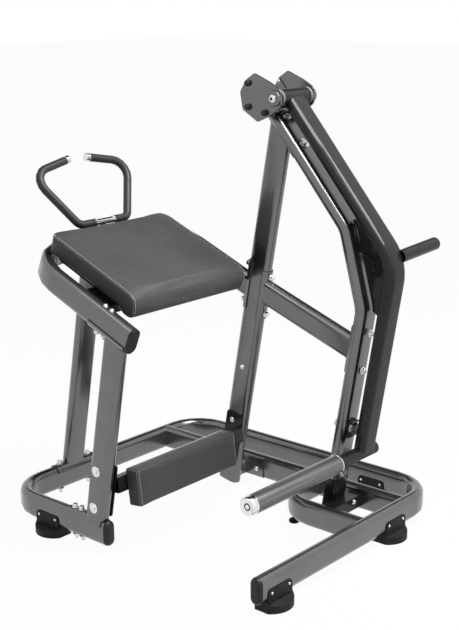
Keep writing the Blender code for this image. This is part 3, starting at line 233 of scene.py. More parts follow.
def addBump(nodes, links, height, distance, under=None):
    bump = nodes.new("ShaderNodeBump")
    bump.inputs["Distance"].default_value = distance
    links.new(height, bump.inputs["Height"])
    if under:
        links.new(under, bump.inputs["Normal"])
    return bump.outputs["Normal"]


def spreadColor(nodes, links, shader, share, look):
    # The two colours of a finish, mixed by a noise
    mixed = mixColors(nodes, links, addRange(nodes, links, share, 0, 1), look["color"], look["colorTwo"])
    links.new(mixed, shader.inputs["Base Color"])


def spreadGloss(nodes, links, shader, share, rough, less, more=None):
    # The roughness of a finish, less and more by a noise
    links.new(addRange(nodes, links, share, rough - less, rough + (more or less)), shader.inputs["Roughness"])


# Powder coat; a noise is (scale, detail) or (scale, detail, roughness)
paintGrain = {"drift": (9, 4), "gloss": (26, 3), "peelDetail": 2, "fleckFrom": 0.05, "fleckTo": 0.35}


def paintedMetal(name, look):
    # Fine metallic fleck, slow colour drift and a soft orange peel
    mat, nodes, links, shader, where = startMaterial(name, look["color"], look["metallic"], look["rough"])
    fleck = nodes.new("ShaderNodeTexVoronoi")
    fleck.inputs["Scale"].default_value = look["fleckScale"]
    links.new(where, fleck.inputs["Vector"])
    drift = addNoise(nodes, links, where, *paintGrain["drift"])
    base = mixColors(nodes, links, addRange(nodes, links, drift, 0, 1), look["color"], look["colorTwo"])
    spark = nodes.new("ShaderNodeMix")
    spark.data_type = "RGBA"
    spark.inputs["B"].default_value = (*look["fleckColor"], 1)
    links.new(addRange(nodes, links, fleck.outputs["Distance"], look["fleckShare"], 0,
                       paintGrain["fleckFrom"], paintGrain["fleckTo"]), spark.inputs["Factor"])
    links.new(base, spark.inputs["A"])
    links.new(spark.outputs["Result"], shader.inputs["Base Color"])
    gloss = addNoise(nodes, links, where, *paintGrain["gloss"])
    spreadGloss(nodes, links, shader, gloss, look["rough"], look["roughSpread"])
    peel = addNoise(nodes, links, where, look["peelScale"], paintGrain["peelDetail"])
    links.new(addBump(nodes, links, peel, look["peelDepth"]), shader.inputs["Normal"])
    shader.inputs["Coat Weight"].default_value = look["coat"]
    shader.inputs["Coat Roughness"].default_value = look["coatRough"]
    shader.inputs["Specular IOR Level"].default_value = look["specular"]
    return mat


framePaint = {"color": (0.145, 0.145, 0.147), "colorTwo": (0.160, 0.160, 0.162), "metallic": 0.88,
              "rough": 0.23, "roughSpread": 0.02, "fleckScale": 1900, "fleckColor": (0.27, 0.27, 0.275),
              "fleckShare": 0.14, "peelScale": 380, "peelDepth": 0.000008, "coat": 0.35, "coatRough": 0.06,
              "specular": 0.5}
blackPaint = {"color": (0.011, 0.011, 0.0113), "colorTwo": (0.014, 0.014, 0.0144), "metallic": 0.0,
              "rough": 0.40, "roughSpread": 0.02, "fleckScale": 1900, "fleckColor": (0.03, 0.03, 0.0305),
              "fleckShare": 0.08, "peelScale": 380, "peelDepth": 0.000008, "coat": 0.4, "coatRough": 0.04,
              "specular": 0.08}


# Moulded rubber or plastic
mouldGrain = {"drift": (14, 4), "patch": (40, 3), "patchSpread": 0.06, "grain": (2, 0.6)}


def mouldedRubber(name, look):
    # Fine spark-eroded grain and dull patches
    mat, nodes, links, shader, where = startMaterial(name, look["color"], 0, look["rough"])
    drift = addNoise(nodes, links, where, *mouldGrain["drift"])
    spreadColor(nodes, links, shader, drift, look)
    patch = addNoise(nodes, links, where, *mouldGrain["patch"])
    spreadGloss(nodes, links, shader, patch, look["rough"], mouldGrain["patchSpread"])
    grain = addNoise(nodes, links, where, look["grainScale"], *mouldGrain["grain"])
    links.new(addBump(nodes, links, grain, look["grainDepth"]), shader.inputs["Normal"])
    shader.inputs["Specular IOR Level"].default_value = look["specular"]
    return mat


footRubber = {"color": (0.008, 0.008, 0.009), "colorTwo": (0.014, 0.014, 0.015), "rough": 0.55,
              "grainScale": 900, "grainDepth": 0.0001, "specular": 0.2}
capPlastic = {"color": (0.010, 0.010, 0.011), "colorTwo": (0.015, 0.015, 0.016), "rough": 0.38,
              "grainScale": 1100, "grainDepth": 0.00005, "specular": 0.3}
gripRubber = {"color": (0.020, 0.020, 0.021), "colorTwo": (0.026, 0.026, 0.027), "rough": 0.42,
              "grainScale": 1500, "grainDepth": 0.00003, "specular": 0.3}
bumperRubber = {"color": (0.130, 0.130, 0.131), "colorTwo": (0.150, 0.150, 0.151), "rough": 0.5,
                "grainScale": 700, "grainDepth": 0.0001, "specular": 0.3}
nylonWhite = {"color": (0.82, 0.82, 0.81), "colorTwo": (0.80, 0.80, 0.79), "rough": 0.5, "grainScale": 700,
                "grainDepth": 0.0001, "specular": 0.3}


# Plated steel
platedGrain = {"smear": (60, 4), "smearSpread": (0.05, 0.07), "line": (240, 2, 0.5), "lineDepth": 0.00002}


def brightSteel(name, look):
    # Thin turning marks and faint smears in the gloss
    mat, nodes, links, shader, where = startMaterial(name, look["color"], 1, look["rough"])
    smear = addNoise(nodes, links, where, *platedGrain["smear"])
    spreadGloss(nodes, links, shader, smear, look["rough"], *platedGrain["smearSpread"])
    spreadColor(nodes, links, shader, smear, look)
    lines = addNoise(nodes, links, where, *platedGrain["line"], stretch=look["lines"])
    links.new(addBump(nodes, links, lines, platedGrain["lineDepth"]), shader.inputs["Normal"])
    return mat


def reflectionStreakSleeve(name, look):
    # Metallic grey sleeve: fine grain, with light and dark streaks along it painted into its colour as
    # reflections
    mat, nodes, links, shader, where = startMaterial(name, look["color"], look["metallic"], look["rough"])
    reflectionStreaks = addNoise(nodes, links, where, *look["reflectionStreaks"], stretch=look["stretch"])
    share = addRange(nodes, links, reflectionStreaks, 0, 1, *look["reflectionStreakEdge"])
    # the streak noise mixes the two colours: painted reflection streaks along the sleeve
    links.new(mixColors(nodes, links, share, look["color"], look["colorTwo"]), shader.inputs["Base Color"])
    spreadGloss(nodes, links, shader, reflectionStreaks, look["rough"], look["roughSpread"])
    grain = addNoise(nodes, links, where, *look["grain"])
    links.new(addBump(nodes, links, grain, look["grainDepth"]), shader.inputs["Normal"])
    return mat


chrome = {"color": (0.84, 0.84, 0.85), "colorTwo": (0.76, 0.76, 0.78), "rough": 0.12, "lines": (6, 1, 1)}
zincPlate = {"color": (0.80, 0.80, 0.81), "colorTwo": (0.68, 0.68, 0.70), "rough": 0.24, "lines": (3, 3, 3)}
# the sleeve's two colours give the painted light and dark reflection streaks along it
rollerSleeve = {"color": (0.10, 0.10, 0.101), "colorTwo": (0.20, 0.20, 0.202), "metallic": 0.7, "rough": 0.30,
                "roughSpread": 0.08, "reflectionStreaks": (70, 3, 0.6), "reflectionStreakEdge": (0.35, 0.65),
                "stretch": (0.02, 1, 1), "grain": (900, 2, 0.6), "grainDepth": 0.00006}


def padLeather(name, look):
    # Synthetic leather: pebbled grain in two sizes, soft sheen and slow colour drift
    mat, nodes, links, shader, where = startMaterial(name, look["color"], 0, look["rough"])
    drift = addNoise(nodes, links, where, *look["drift"])
    spreadColor(nodes, links, shader, drift, look)
    pebble = nodes.new("ShaderNodeTexVoronoi")
    pebble.feature = "SMOOTH_F1"
    pebble.inputs["Scale"].default_value = look["pebbleScale"]
    links.new(where, pebble.inputs["Vector"])
    fine = addNoise(nodes, links, where, *look["fine"])
    first = addBump(nodes, links, pebble.outputs["Distance"], look["pebbleDepth"])
    links.new(addBump(nodes, links, fine, look["fineDepth"], under=first), shader.inputs["Normal"])
    worn = addNoise(nodes, links, where, *look["worn"])
    spreadGloss(nodes, links, shader, worn, look["rough"], look["wornSpread"])
    shader.inputs["Sheen Weight"].default_value = look["sheen"]
    shader.inputs["Sheen Roughness"].default_value = look["sheenRough"]
    shader.inputs["Specular IOR Level"].default_value = look["specular"]
    return mat


leather = {"color": (0.042, 0.042, 0.043), "colorTwo": (0.050, 0.050, 0.051), "rough": 0.50,
           "drift": (5, 4), "worn": (18, 3), "wornSpread": 0.05, "pebbleScale": 430, "pebbleDepth": 0.00080,
           "fine": (700, 3, 0.6), "fineDepth": 0.00050, "sheen": 0.05, "sheenRough": 0.4, "specular": 0.35}


def threadCotton(name, look):
    # Twisted thread: fine diagonal strands
    mat, nodes, links, shader, where = startMaterial(name, look["color"], 0, look["rough"])
    strands = addNoise(nodes, links, where, *look["strands"], stretch=look["stretch"])
    spreadColor(nodes, links, shader, strands, look)
    links.new(addBump(nodes, links, strands, look["depth"]), shader.inputs["Normal"])
    return mat


whiteThread = {"color": (0.72, 0.72, 0.71), "colorTwo": (0.58, 0.58, 0.57), "rough": 0.6,
               "strands": (1400, 2, 0.6), "stretch": (1, 2.5, 1), "depth": 0.0001}

finishes = {"frame_paint": paintedMetal("gunmetalPaint", framePaint),
            "black_paint": paintedMetal("blackPaint", blackPaint),
            "cap_plastic": mouldedRubber("capPlastic", capPlastic),
            "foot_rubber": mouldedRubber("footRubber", footRubber),
            "grip_rubber": mouldedRubber("gripRubber", gripRubber),
            "pad_leather": padLeather("padLeather", leather),
            "bright_steel": brightSteel("brightSteel", chrome),
            "roller_rubber": reflectionStreakSleeve("rollerSleeve", rollerSleeve)}
bumperFinish = mouldedRubber("bumperRubber", bumperRubber)
nylonFinish = mouldedRubber("nylonWhite", nylonWhite)
zincFinish = brightSteel("zincPlate", zincPlate)
threadFinish = threadCotton("whiteThread", whiteThread)
print("materials mixed")


# Modelling helpers
bodyOf = {node: body for body, members in frame["record"]["behaviour"]["bodies"].items() for node in members}
slotOf = {part["node"]: part["material_slot"] for part in frame["record"]["subparts"]}
axisX, axisY, axisZ = Vector((1, 0, 0)), Vector((0, 1, 0)), Vector((0, 0, 1))
edgeAngle, roundAngle = 32, 38  # degrees: sharper edges are beveled, flatter ones are shaded round


def pickOnly(piece):
    if bpy.context.object and bpy.context.object.mode != "OBJECT":
        bpy.ops.object.mode_set(mode="OBJECT")
    bpy.ops.object.select_all(action="DESELECT")
    piece.select_set(True)
    bpy.context.view_layer.objects.active = piece


def applyModifier(piece, kind, **settings):
    pickOnly(piece)
    bpy.ops.object.modifier_add(type=kind)
    step = piece.modifiers[-1]
    for key, value in settings.items():
        setattr(step, key, value)
    bpy.ops.object.modifier_apply(modifier=step.name)


def bevelEdges(piece, width, segments=2):
    applyModifier(piece, "BEVEL", width=width, segments=segments, limit_method="ANGLE",
                  angle_limit=math.radians(edgeAngle))


def smoothPiece(piece, angle=roundAngle, weighted=True):
    pickOnly(piece)
    bpy.ops.object.shade_smooth_by_angle(angle=math.radians(angle))
    if weighted:
        applyModifier(piece, "WEIGHTED_NORMAL", mode="FACE_AREA_WITH_ANGLE", weight=50, keep_sharp=True)


def turnTo(piece, origin, zWay, xWay=None):
    # Puts a piece that was modelled along z at its place, in its mesh
    zWay = Vector(zWay).normalized()
    if xWay is None:
        xWay = axisX if abs(zWay.x) < 0.9 else axisY
    xWay = (Vector(xWay) - zWay * zWay.dot(Vector(xWay))).normalized()
    turn = Matrix((xWay, zWay.cross(xWay), zWay)).transposed().to_4x4()
    piece.data.transform(Matrix.Translation(Vector(origin)) @ turn)
    piece.data.update()
    return piece


def copyOf(model, name):
    piece = bpy.data.objects.new(name, model.data.copy())
    bpy.context.scene.collection.objects.link(piece)
    return piece


def finishPiece(piece, body, slot, material=None):
    piece.data.materials.clear()
    piece.data.materials.append(material or finishes[slot])
    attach(piece, body)


def drawUp(name, rings, vertices=40):
    # A round or six-sided piece, drawn up ring by ring from its lowest face; rings are (radius, height)
    bpy.ops.object.select_all(action="DESELECT")
    bpy.ops.mesh.primitive_circle_add(vertices=vertices, radius=rings[0][0], fill_type="NGON",
                                      location=(0, 0, 0))
    piece = bpy.context.object
    piece.name = name
    bpy.ops.object.mode_set(mode="EDIT")
    bpy.ops.mesh.select_all(action="SELECT")
    bpy.ops.transform.translate(value=(0, 0, rings[0][1]))
    for (radius, height), (nextRadius, nextHeight) in zip(rings, rings[1:]):
        bpy.ops.mesh.extrude_region_move(TRANSFORM_OT_translate={"value": (0, 0, nextHeight - height)})
        grow = nextRadius / radius
        bpy.ops.transform.resize(value=(grow, grow, 1), center_override=(0, 0, nextHeight))
    bpy.ops.mesh.select_all(action="SELECT")
    bpy.ops.mesh.normals_make_consistent(inside=False)
    bpy.ops.object.mode_set(mode="OBJECT")
    return piece


def setTurned(piece, origin, zWay, body, slot, material=None):
    turnTo(piece, origin, zWay)
    smoothPiece(piece, weighted=False)
    finishPiece(piece, body, slot, material)


def drawRing(name, bore, outer, wide, edge, vertices):
    # A flat ring or collar with broken edges
    return drawUp(name, [(bore, 0), (outer - edge, 0), (outer, edge), (outer, wide - edge),
                         (outer - edge, wide), (bore, wide)], vertices)


def addBlock(name, size, bevel):
    bpy.ops.object.select_all(action="DESELECT")
    bpy.ops.mesh.primitive_cube_add(size=1, scale=size)
    piece = bpy.context.object
    piece.name = name
    bpy.ops.object.transform_apply(location=False, rotation=False, scale=True)
    bevelEdges(piece, bevel, 3)
    return piece


def layStrip(name, ends, wide, tall, middleX, bevel, body):
    # A black strip flat on a plate of the tower, from one (y, z) to another
    (startY, startZ), (endY, endZ) = ends
    way = Vector((0, endY - startY, endZ - startZ))
    strip = addBlock(name, (way.length, wide, tall), bevel)
    turnTo(strip, (middleX, (startY + endY) / 2, (startZ + endZ) / 2), -axisX, way)
    smoothPiece(strip)
    finishPiece(strip, body, "black_paint")


def joinPieces(name, pieces):
    bpy.ops.object.select_all(action="DESELECT")
    for piece in pieces:
        piece.select_set(True)
    bpy.context.view_layer.objects.active = pieces[0]
    if len(pieces) > 1:
        bpy.ops.object.join()
    pieces[0].name = name
    return pieces[0]


# The part's own nodes, merged: oval tubes, round bars, and plates with their bevel widths
dress = {"weld": 0.00002, "flat": 0.4,
         "tubes": ["base_tube", "middle_rail", "inner_loop", "left_post", "rear_post", "pad_loop",
                   "main_upright", "rear_upright", "cross_tube", "beam", "shin_crossbar", "lever_tube"],
         "round": ["handlebar", "grip_left", "grip_right", "hub", "foot_bar", "weight_horn"],
         "edged": {"left_post_base": 0.0012, "rear_post_base": 0.0012, "left_post_top": 0.0012,
                   "rear_post_top": 0.0012, "beam_saddle": 0.0012, "loop_saddle": 0.0012, "top_plate": 0.001,
                   "beam_plate": 0.001, "cheek_near": 0.0012, "cheek_far": 0.0012, "gusset": 0.001,
                   "rail_bridge": 0.001, "upright_shoe": 0.001, "hip_crossbar": 0.001, "head_crossbar": 0.001,
                   "chest_board": 0.0015, "shin_side_left": 0.001, "shin_side_right": 0.001,
                   "bumper_bracket": 0.001, "pivot_cap_near": 0.0008, "pivot_cap_far": 0.0008,
                   "loop_cap": 0.0008, "horn_cap": 0.001, "foot_left": 0.0012, "foot_rear_left": 0.0012,
                   "foot_rear_right": 0.0012, "foot_right": 0.0012, "levelling_foot": 0.001}}


def mergedCopy(node, flatten=True):
    # A CAD node's loose triangles, merged and, if wanted, with its flat faces whole again
    piece = copyOf(frame["nodes"][node], node + "_finished")
    pickOnly(piece)
    bpy.ops.object.mode_set(mode="EDIT")
    bpy.ops.mesh.select_all(action="SELECT")
    bpy.ops.mesh.remove_doubles(threshold=dress["weld"])
    if flatten:
        bpy.ops.mesh.dissolve_limited(angle_limit=math.radians(dress["flat"]))
    bpy.ops.object.mode_set(mode="OBJECT")
    if piece.data.has_custom_normals:
        bpy.ops.mesh.customdata_custom_splitnormals_clear()
    return piece


def dressFrame():
    for node in dress["tubes"] + dress["round"] + list(dress["edged"]):
        piece = mergedCopy(node, node in dress["edged"])
        if node in dress["edged"]:
            bevelEdges(piece, dress["edged"][node])
        smoothPiece(piece, weighted=node not in dress["round"])
        finishPiece(piece, bodyOf[node], slotOf[node])
        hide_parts(node)
    for node, part in frame["nodes"].items():
        part.data.materials.clear()
        part.data.materials.append(finishes[slotOf[node]])


capRound = {"sides": 48, "width": 0.015, "mostWidth": 0.95, "steps": 8, "bulge": 0.006}


def addRunCap(node, outWay, acrossWay):
    # A moulded plug with a fully rounded rim on the end of a floor run
    low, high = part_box(node)
    size = high - low
    inner = abs(size.dot(outWay))
    deep, wide, tall = inner + capRound["bulge"], abs(size.dot(acrossWay)), size.z
    bpy.ops.object.select_all(action="DESELECT")
    bpy.ops.mesh.primitive_circle_add(vertices=capRound["sides"], radius=wide / 2, fill_type="NGON",
                                      location=(0, 0, 0))
    cap = bpy.context.object
    cap.name = node + "Moulded"
    for corner in cap.data.vertices:
        corner.co.y += math.copysign((tall - wide) / 2, corner.co.y)
    bpy.ops.object.mode_set(mode="EDIT")
    bpy.ops.mesh.select_all(action="SELECT")
    bpy.ops.mesh.extrude_region_move(TRANSFORM_OT_translate={"value": (0, 0, deep)})
    bpy.ops.mesh.select_all(action="SELECT")
    bpy.ops.mesh.normals_make_consistent(inside=False)
    bpy.ops.object.mode_set(mode="OBJECT")
    bevelEdges(cap, min(capRound["width"], deep * capRound["mostWidth"]), capRound["steps"])
    turnTo(cap, (low + high) / 2 - outWay * inner / 2, outWay, acrossWay)
    smoothPiece(cap)
    finishPiece(cap, "frame", "cap_plastic")
    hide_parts(node)


dressFrame()
addRunCap("left_run_cap", -axisY, axisX)
addRunCap("rear_run_cap", -axisX, -axisY)
print("frame nodes dressed")


# Fasteners: modelled once along z and copied to their places; sizes in mm, as (radius, height)
mm = 0.001
hexBolt = {"washer": (13.5, 2.2), "head": (11.3, 11.6), "chamfer": 0.9}
discBolt = {"washer": (20.5, 2.6), "head": (10.2, 5.0), "chamfer": 0.9}
rearBolt = {"washer": (21.0, 4.6), "head": (10.5, 7.0), "chamfer": 0.9}
nutEnd = {"washer": (14.5, 2.4), "nut": (11.2, 9.5), "thread": (5.9, 7.0), "turns": 5, "chamfer": 0.9}
smallScrew = {"head": (5.2, 2.6), "socket": (2.4, 1.2)}
socketBolt = {"washer": (11.0, 1.8), "head": (8.0, 6.0), "socket": (4.2, 3.0)}


def washerDisc(name, radius, thick):
    disc = drawUp(name, [(radius, 0), (radius, thick)], 40)
    bevelEdges(disc, 0.0006)
    return disc


def hexHead(name, radius, low, high, chamfer):
    # Six-sided head with its corners turned off at the top
    head = drawUp(name, [(radius, low), (radius, high - chamfer), (radius * 0.93, high),
                         (radius * 0.78, high), (radius * 0.74, high - 0.0004)], 6)
    bevelEdges(head, 0.0004)
    return head


def hexBoltModel(name, look):
    washerR, washerH = (v * mm for v in look["washer"])
    headR, headH = (v * mm for v in look["head"])
    parts = [washerDisc(name + "Washer", washerR, washerH),
             hexHead(name + "Head", headR, washerH * 0.9, washerH + headH, look["chamfer"] * mm)]
    return joinPieces(name, parts)


def nutEndModel(name, look):
    # Washer, nut and the end of the thread that stands out of it
    washerR, washerH = (v * mm for v in look["washer"])
    nutR, nutH = (v * mm for v in look["nut"])
    threadR, threadH = (v * mm for v in look["thread"])
    top = washerH + nutH
    rings = [(threadR, top - 0.002)]
    pitch = threadH / look["turns"]
    for turn in range(look["turns"]):
        rings += [(threadR, top + pitch * (turn + 0.1)), (threadR * 0.86, top + pitch * (turn + 0.5)),
                  (threadR, top + pitch * (turn + 0.9))]
    rings += [(threadR * 0.8, top + threadH + 0.0008)]
    parts = [washerDisc(name + "Washer", washerR, washerH),
             hexHead(name + "Nut", nutR, washerH * 0.9, top, look["chamfer"] * mm),
             drawUp(name + "Thread", rings, 20)]
    return joinPieces(name, parts)


def socketHeadModel(name, look, washer=True):
    # Button head with a round socket let into it
    base = look["washer"][1] * mm if washer else 0.0
    headR, headH = (v * mm for v in look["head"])
    socketR, socketH = (v * mm for v in look["socket"])
    rings = [(headR, base * 0.9), (headR, base + headH * 0.35), (headR * 0.94, base + headH * 0.65),
             (headR * 0.78, base + headH * 0.92), (headR * 0.62, base + headH), (socketR, base + headH),
             (socketR * 0.98, base + headH - socketH), (socketR * 0.4, base + headH - socketH * 1.1)]
    parts = [drawUp(name + "Head", rings, 24)]
    if washer:
        parts.insert(0, washerDisc(name + "Washer", look["washer"][0] * mm, base))
    return joinPieces(name, parts)


models = {"hex": hexBoltModel("hexBoltModel", hexBolt),
          "disc": hexBoltModel("discBoltModel", discBolt),
          "rear": hexBoltModel("rearBoltModel", rearBolt),
          "nut": nutEndModel("nutEndModel", nutEnd),
          "screw": socketHeadModel("smallScrewModel", smallScrew, False),
          "socket": socketHeadModel("socketBoltModel", socketBolt)}
for model in models.values():
    smoothPiece(model, weighted=False)
print("fasteners modelled")


# Directions: the pad's slope, the main upright's lean, and the rear upright's lower and upper runs
slope, lean = math.radians(22.3), math.radians(10.6)
slopeStart = Vector((0, 0.153, 0.937))
slopeV = Vector((0, math.cos(slope), math.sin(slope)))
slopeW = Vector((0, -math.sin(slope), math.cos(slope)))
leanOut = Vector((0, math.cos(lean), math.sin(lean)))
lowUp = Vector((0, -145, 834)).normalized()
lowRear = Vector((0, -lowUp.z, lowUp.y))
topUp = Vector((0, 350, 416)).normalized()
topRear = Vector((0, -topUp.z, topUp.y))


def alongSlope(x, v, w):
    # The place that lies v up the pad's slope and w off it
    return axisX * x + slopeStart + slopeV * v + slopeW * w


# Every fastener as (model, place in mm, the way it points)
saddleBolts = [("hex", (222, -32.7, 788.4), -leanOut), ("hex", (222, -60.6, 937.8), -leanOut),
               ("hex", (222, 78.8, 834.1), leanOut), ("hex", (222, 50.9, 983.5), leanOut),
               ("hex", (-542, 270, 144), axisZ), ("hex", (-542, 234, 144), axisZ),
               ("hex", (-288, 653, 144), axisZ), ("hex", (-136, 653, 144), axisZ),
               ("hex", (-542, 113.4, 857), -slopeW), ("hex", (-542, 78.2, 842.6), -slopeW),
               ("hex", (-136, 495.4, 1013.7), -slopeW), ("hex", (-288, 495.4, 1013.7), -slopeW)]
saddleFace = 4  # how far a saddle's outer face lies inside its bolt's place
tubeHalf = 25  # from a tube's middle line to its narrow face
tubeBolts = [("nut", (-542, 270, 35), -axisZ), ("nut", (-542, 234, 35), -axisZ),
             ("nut", (-288, 653, 35), -axisZ), ("nut", (-136, 653, 35), -axisZ),
             ("socket", alongSlope(-0.542, -0.075, 0.05) / mm, slopeW),
             ("socket", alongSlope(-0.542, -0.108, 0.05) / mm, slopeW),
             ("nut", alongSlope(-0.136, 0.346, 0.05) / mm, slopeW),
             ("nut", alongSlope(-0.288, 0.346, 0.05) / mm, slopeW),
             ("disc", (-567, 120, 328), -axisX), ("disc", (-567, 141, 180), -axisX),
             ("nut", Vector((222, -503.3, 800.3)) + lowRear * tubeHalf, lowRear),
             ("nut", Vector((222, -470.4, 651.3)) + lowRear * tubeHalf, lowRear),
             ("rear", Vector((222, -195.9, 1456.1)) + topRear * tubeHalf, topRear),
             ("rear", Vector((222, -112.0, 1556.0)) + topRear * (tubeHalf + 1), topRear),
             ("socket", (197, 71, 556), -axisX), ("socket", (191, 122, 323), -axisX),
             ("socket", (310, 94, 79), -axisX), ("socket", (257, -444.5, 95), -axisY)]
footPlaces = [((-542, 406), axisY, axisX), ((-447, -618), axisX, axisY), ((249, -618), axisX, axisY),
              ((542, -345), axisY, axisX)]
footScrews = {"apart": 46, "out": 29, "height": 70}


def addFasteners():
    jobs = [(kind, Vector(at) - Vector(way) * saddleFace, way) for kind, at, way in saddleBolts] + tubeBolts
    for (x, y), along, out in footPlaces:
        for side in (-1, 1):
            for end in (-1, 1):
                at = Vector((x, y, footScrews["height"])) + along * footScrews["apart"] * end
                jobs.append(("screw", at + out * footScrews["out"] * side, out * side))
    for number, (kind, at, way) in enumerate(jobs, 1):
        piece = turnTo(copyOf(models[kind], f"{kind}_fastener_{number}"), Vector(at) * mm, way)
        finishPiece(piece, "frame", "bright_steel", zincFinish)


addFasteners()
print("fasteners placed")


# Tower head: bolt through the pivot, and a grey collar at each end of the hub
pivot = {"at": (0.222, -0.158, 1.639), "cap": 0.1146, "washer": (0.0145, 0.0024), "head": (0.0110, 0.0060),
         "headEdge": 0.0015, "socket": (0.0062, 0.0050), "rod": 0.0122, "recessShadeGap": 0.0003}
hubRing = {"radius": 0.0321, "bore": 0.0285, "wide": 0.012, "edge": 0.001, "gap": 0.0885}


def addPivot():
    washerR, washerH = pivot["washer"]
    headR, headH = pivot["head"]
    socketR, socketH = pivot["socket"]
    top, edge = washerH + headH, pivot["headEdge"]
    floor = top - socketH
    ends = []
    for side in (-1, 1):
        washer = washerDisc("pivotWasher", washerR, washerH)
        head = drawUp("pivotHead", [(headR, washerH * 0.9), (headR, top - edge), (headR - edge, top),
                                    (socketR, top), (socketR, floor), (socketR * 0.3, floor)], 32)
        end = joinPieces("pivotEnd", [washer, head])
        turnTo(end, Vector(pivot["at"]) + axisX * side * pivot["cap"], axisX * side)
        ends.append(end)
    rod = drawUp("pivotRod", [(pivot["rod"], -pivot["cap"]), (pivot["rod"], pivot["cap"])], 24)
    turnTo(rod, pivot["at"], axisX)
    # a black disc on the floor of the near socket: painted shade in the recess
    recessShadeRadius = socketR - pivot["recessShadeGap"]
    recessShade = drawUp("pivotSocketShade", [(recessShadeRadius, floor + 0.0002), (recessShadeRadius, floor + 0.002),
                                (socketR * 0.5, floor + 0.0022)], 24)
    turnTo(recessShade, Vector(pivot["at"]) - axisX * pivot["cap"], -axisX)
    finishPiece(recessShade, "frame", "black_paint")
    bolt = joinPieces("pivotBolt", ends + [rod])
    smoothPiece(bolt, weighted=False)
    finishPiece(bolt, "frame", "bright_steel")
    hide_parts("pivot_shaft")
    for side, name in ((-1, "hubRingNear"), (1, "hubRingFar")):
        ring = drawRing(name, hubRing["bore"], hubRing["radius"], hubRing["wide"], hubRing["edge"], 48)
        place = Vector(pivot["at"]) + axisX * side * (hubRing["gap"] - hubRing["wide"])
        setTurned(ring, place, axisX * side, "lever", "cap_plastic", bumperFinish)


addPivot()
print("pivot finished")


# Handle: a bright ring beside each grip, and a bright cap on each end
handle = {"middle": (-0.212, 0.415, 1.171), "tilt": 31.5, "ringAt": 0.0455, "ring": (0.0172, 0.0035),
          "edge": 0.001, "bare": 0.0136, "end": (0.044, 0.270), "bend": (0.250, 0.227), "mouth": 0.0132,
          "cap": 0.0158, "capLong": 0.020, "capProud": 0.0012}


def addHandleRings():
    for side, name in ((-1, "gripRingLeft"), (1, "gripRingRight")):
        outer, wide = handle["ring"]
        ring = drawRing(name, handle["bare"], outer, wide, handle["edge"], 36)
        place = Vector(handle["middle"]) + axisX * side * handle["ringAt"]
        setTurned(ring, place, axisX * side, "frame", "bright_steel")


def addHandleCaps():
    across, up = handle["end"]
    bendAcross, bendUp = handle["bend"]
    tilt = math.radians(handle["tilt"])
    handleUp = Vector((0, math.sin(tilt), math.cos(tilt)))
    radius, long, edge = handle["cap"], handle["capLong"], handle["edge"]
    for side, name in ((-1, "handleCapLeft"), (1, "handleCapRight")):
        end = Vector(handle["middle"]) + axisX * side * across + handleUp * up
        way = (axisX * side * (across - bendAcross) + handleUp * (up - bendUp)).normalized()
        cap = drawUp(name, [(handle["mouth"], 0), (radius - edge, 0), (radius, edge),
                            (radius, long - edge * 2), (radius - edge * 2, long),
                            (radius * 0.4, long + 0.0008)], 36)
        setTurned(cap, end - way * (long - handle["capProud"]), way, "frame", "bright_steel", zincFinish)


addHandleRings()
addHandleCaps()
print("handle finished")


# Roller: grained sleeve with rolled ends, a bright ring inside and a plated cap outside
roller = {"y": -0.51, "z": 0.33, "near": -0.434, "far": 0.045, "radius": 0.035, "edge": 0.0025,
          "bore": 0.0125, "ring": (0.0362, 0.005), "ringEdge": 0.0012, "ringBore": 0.027, "ringGap": 0.0005,
          "cap": (0.0345, 0.029), "capGap": 0.0002, "capRim": 0.0275, "capDish": 0.0255, "boltR": 0.0095}


def addRoller():
    radius, edge, near, far = (roller[k] for k in ("radius", "edge", "near", "far"))
    long = far - near
    capPlace = (near - roller["capGap"], roller["y"], roller["z"])
    sleeve = drawUp("rollerSleeve", [(roller["bore"], 0), (radius - edge, 0),
                                     (radius - edge * 0.3, edge * 0.3), (radius, edge), (radius, long - edge),
                                     (radius - edge * 0.3, long - edge * 0.3), (radius - edge, long),
                                     (roller["bore"], long)], 64)
    turnTo(sleeve, (near, roller["y"], roller["z"]), axisX)
    smoothPiece(sleeve)
    finishPiece(sleeve, "roller", "roller_rubber")
    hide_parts("roller")
    outer, wide = roller["ring"]
    ring = drawRing("rollerInnerRing", roller["ringBore"], outer, wide, roller["ringEdge"], 56)
    setTurned(ring, (far + roller["ringGap"], roller["y"], roller["z"]), axisX, "lever", "bright_steel")
    capR, capLong = roller["cap"]
    rim, dish = roller["capRim"], roller["capDish"]
    shell = drawUp("rollerCapShell", [(capR, 0.0005), (capR, capLong * 0.62), (capR - 0.0012, capLong * 0.80),
                                      (capR - 0.0035, capLong * 0.93), (rim + 0.0015, capLong),
                                      (rim, capLong), (dish, capLong - 0.0018), (0.0140, capLong - 0.004),
                                      (0.0130, capLong - 0.011), (0.011, capLong - 0.0115)], 56)
    setTurned(shell, capPlace, -axisX, "lever", "bright_steel")
    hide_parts("roller_cap")
    # a black disc in the cap's dish around the bolt: painted shade in the recess
    recessShade = drawUp("rollerCapRecessShade", [(0.0125, capLong - 0.0112), (0.0125, capLong - 0.0100),
                                      (0.0100, capLong - 0.0096)], 48)
    turnTo(recessShade, capPlace, -axisX)
    finishPiece(recessShade, "lever", "black_paint")
    bolt = hexHead("rollerCapBolt", roller["boltR"], capLong - 0.0110, capLong - 0.0030, 0.0008)
    setTurned(bolt, capPlace, -axisX, "lever", "bright_steel")


addRoller()
print("roller finished")


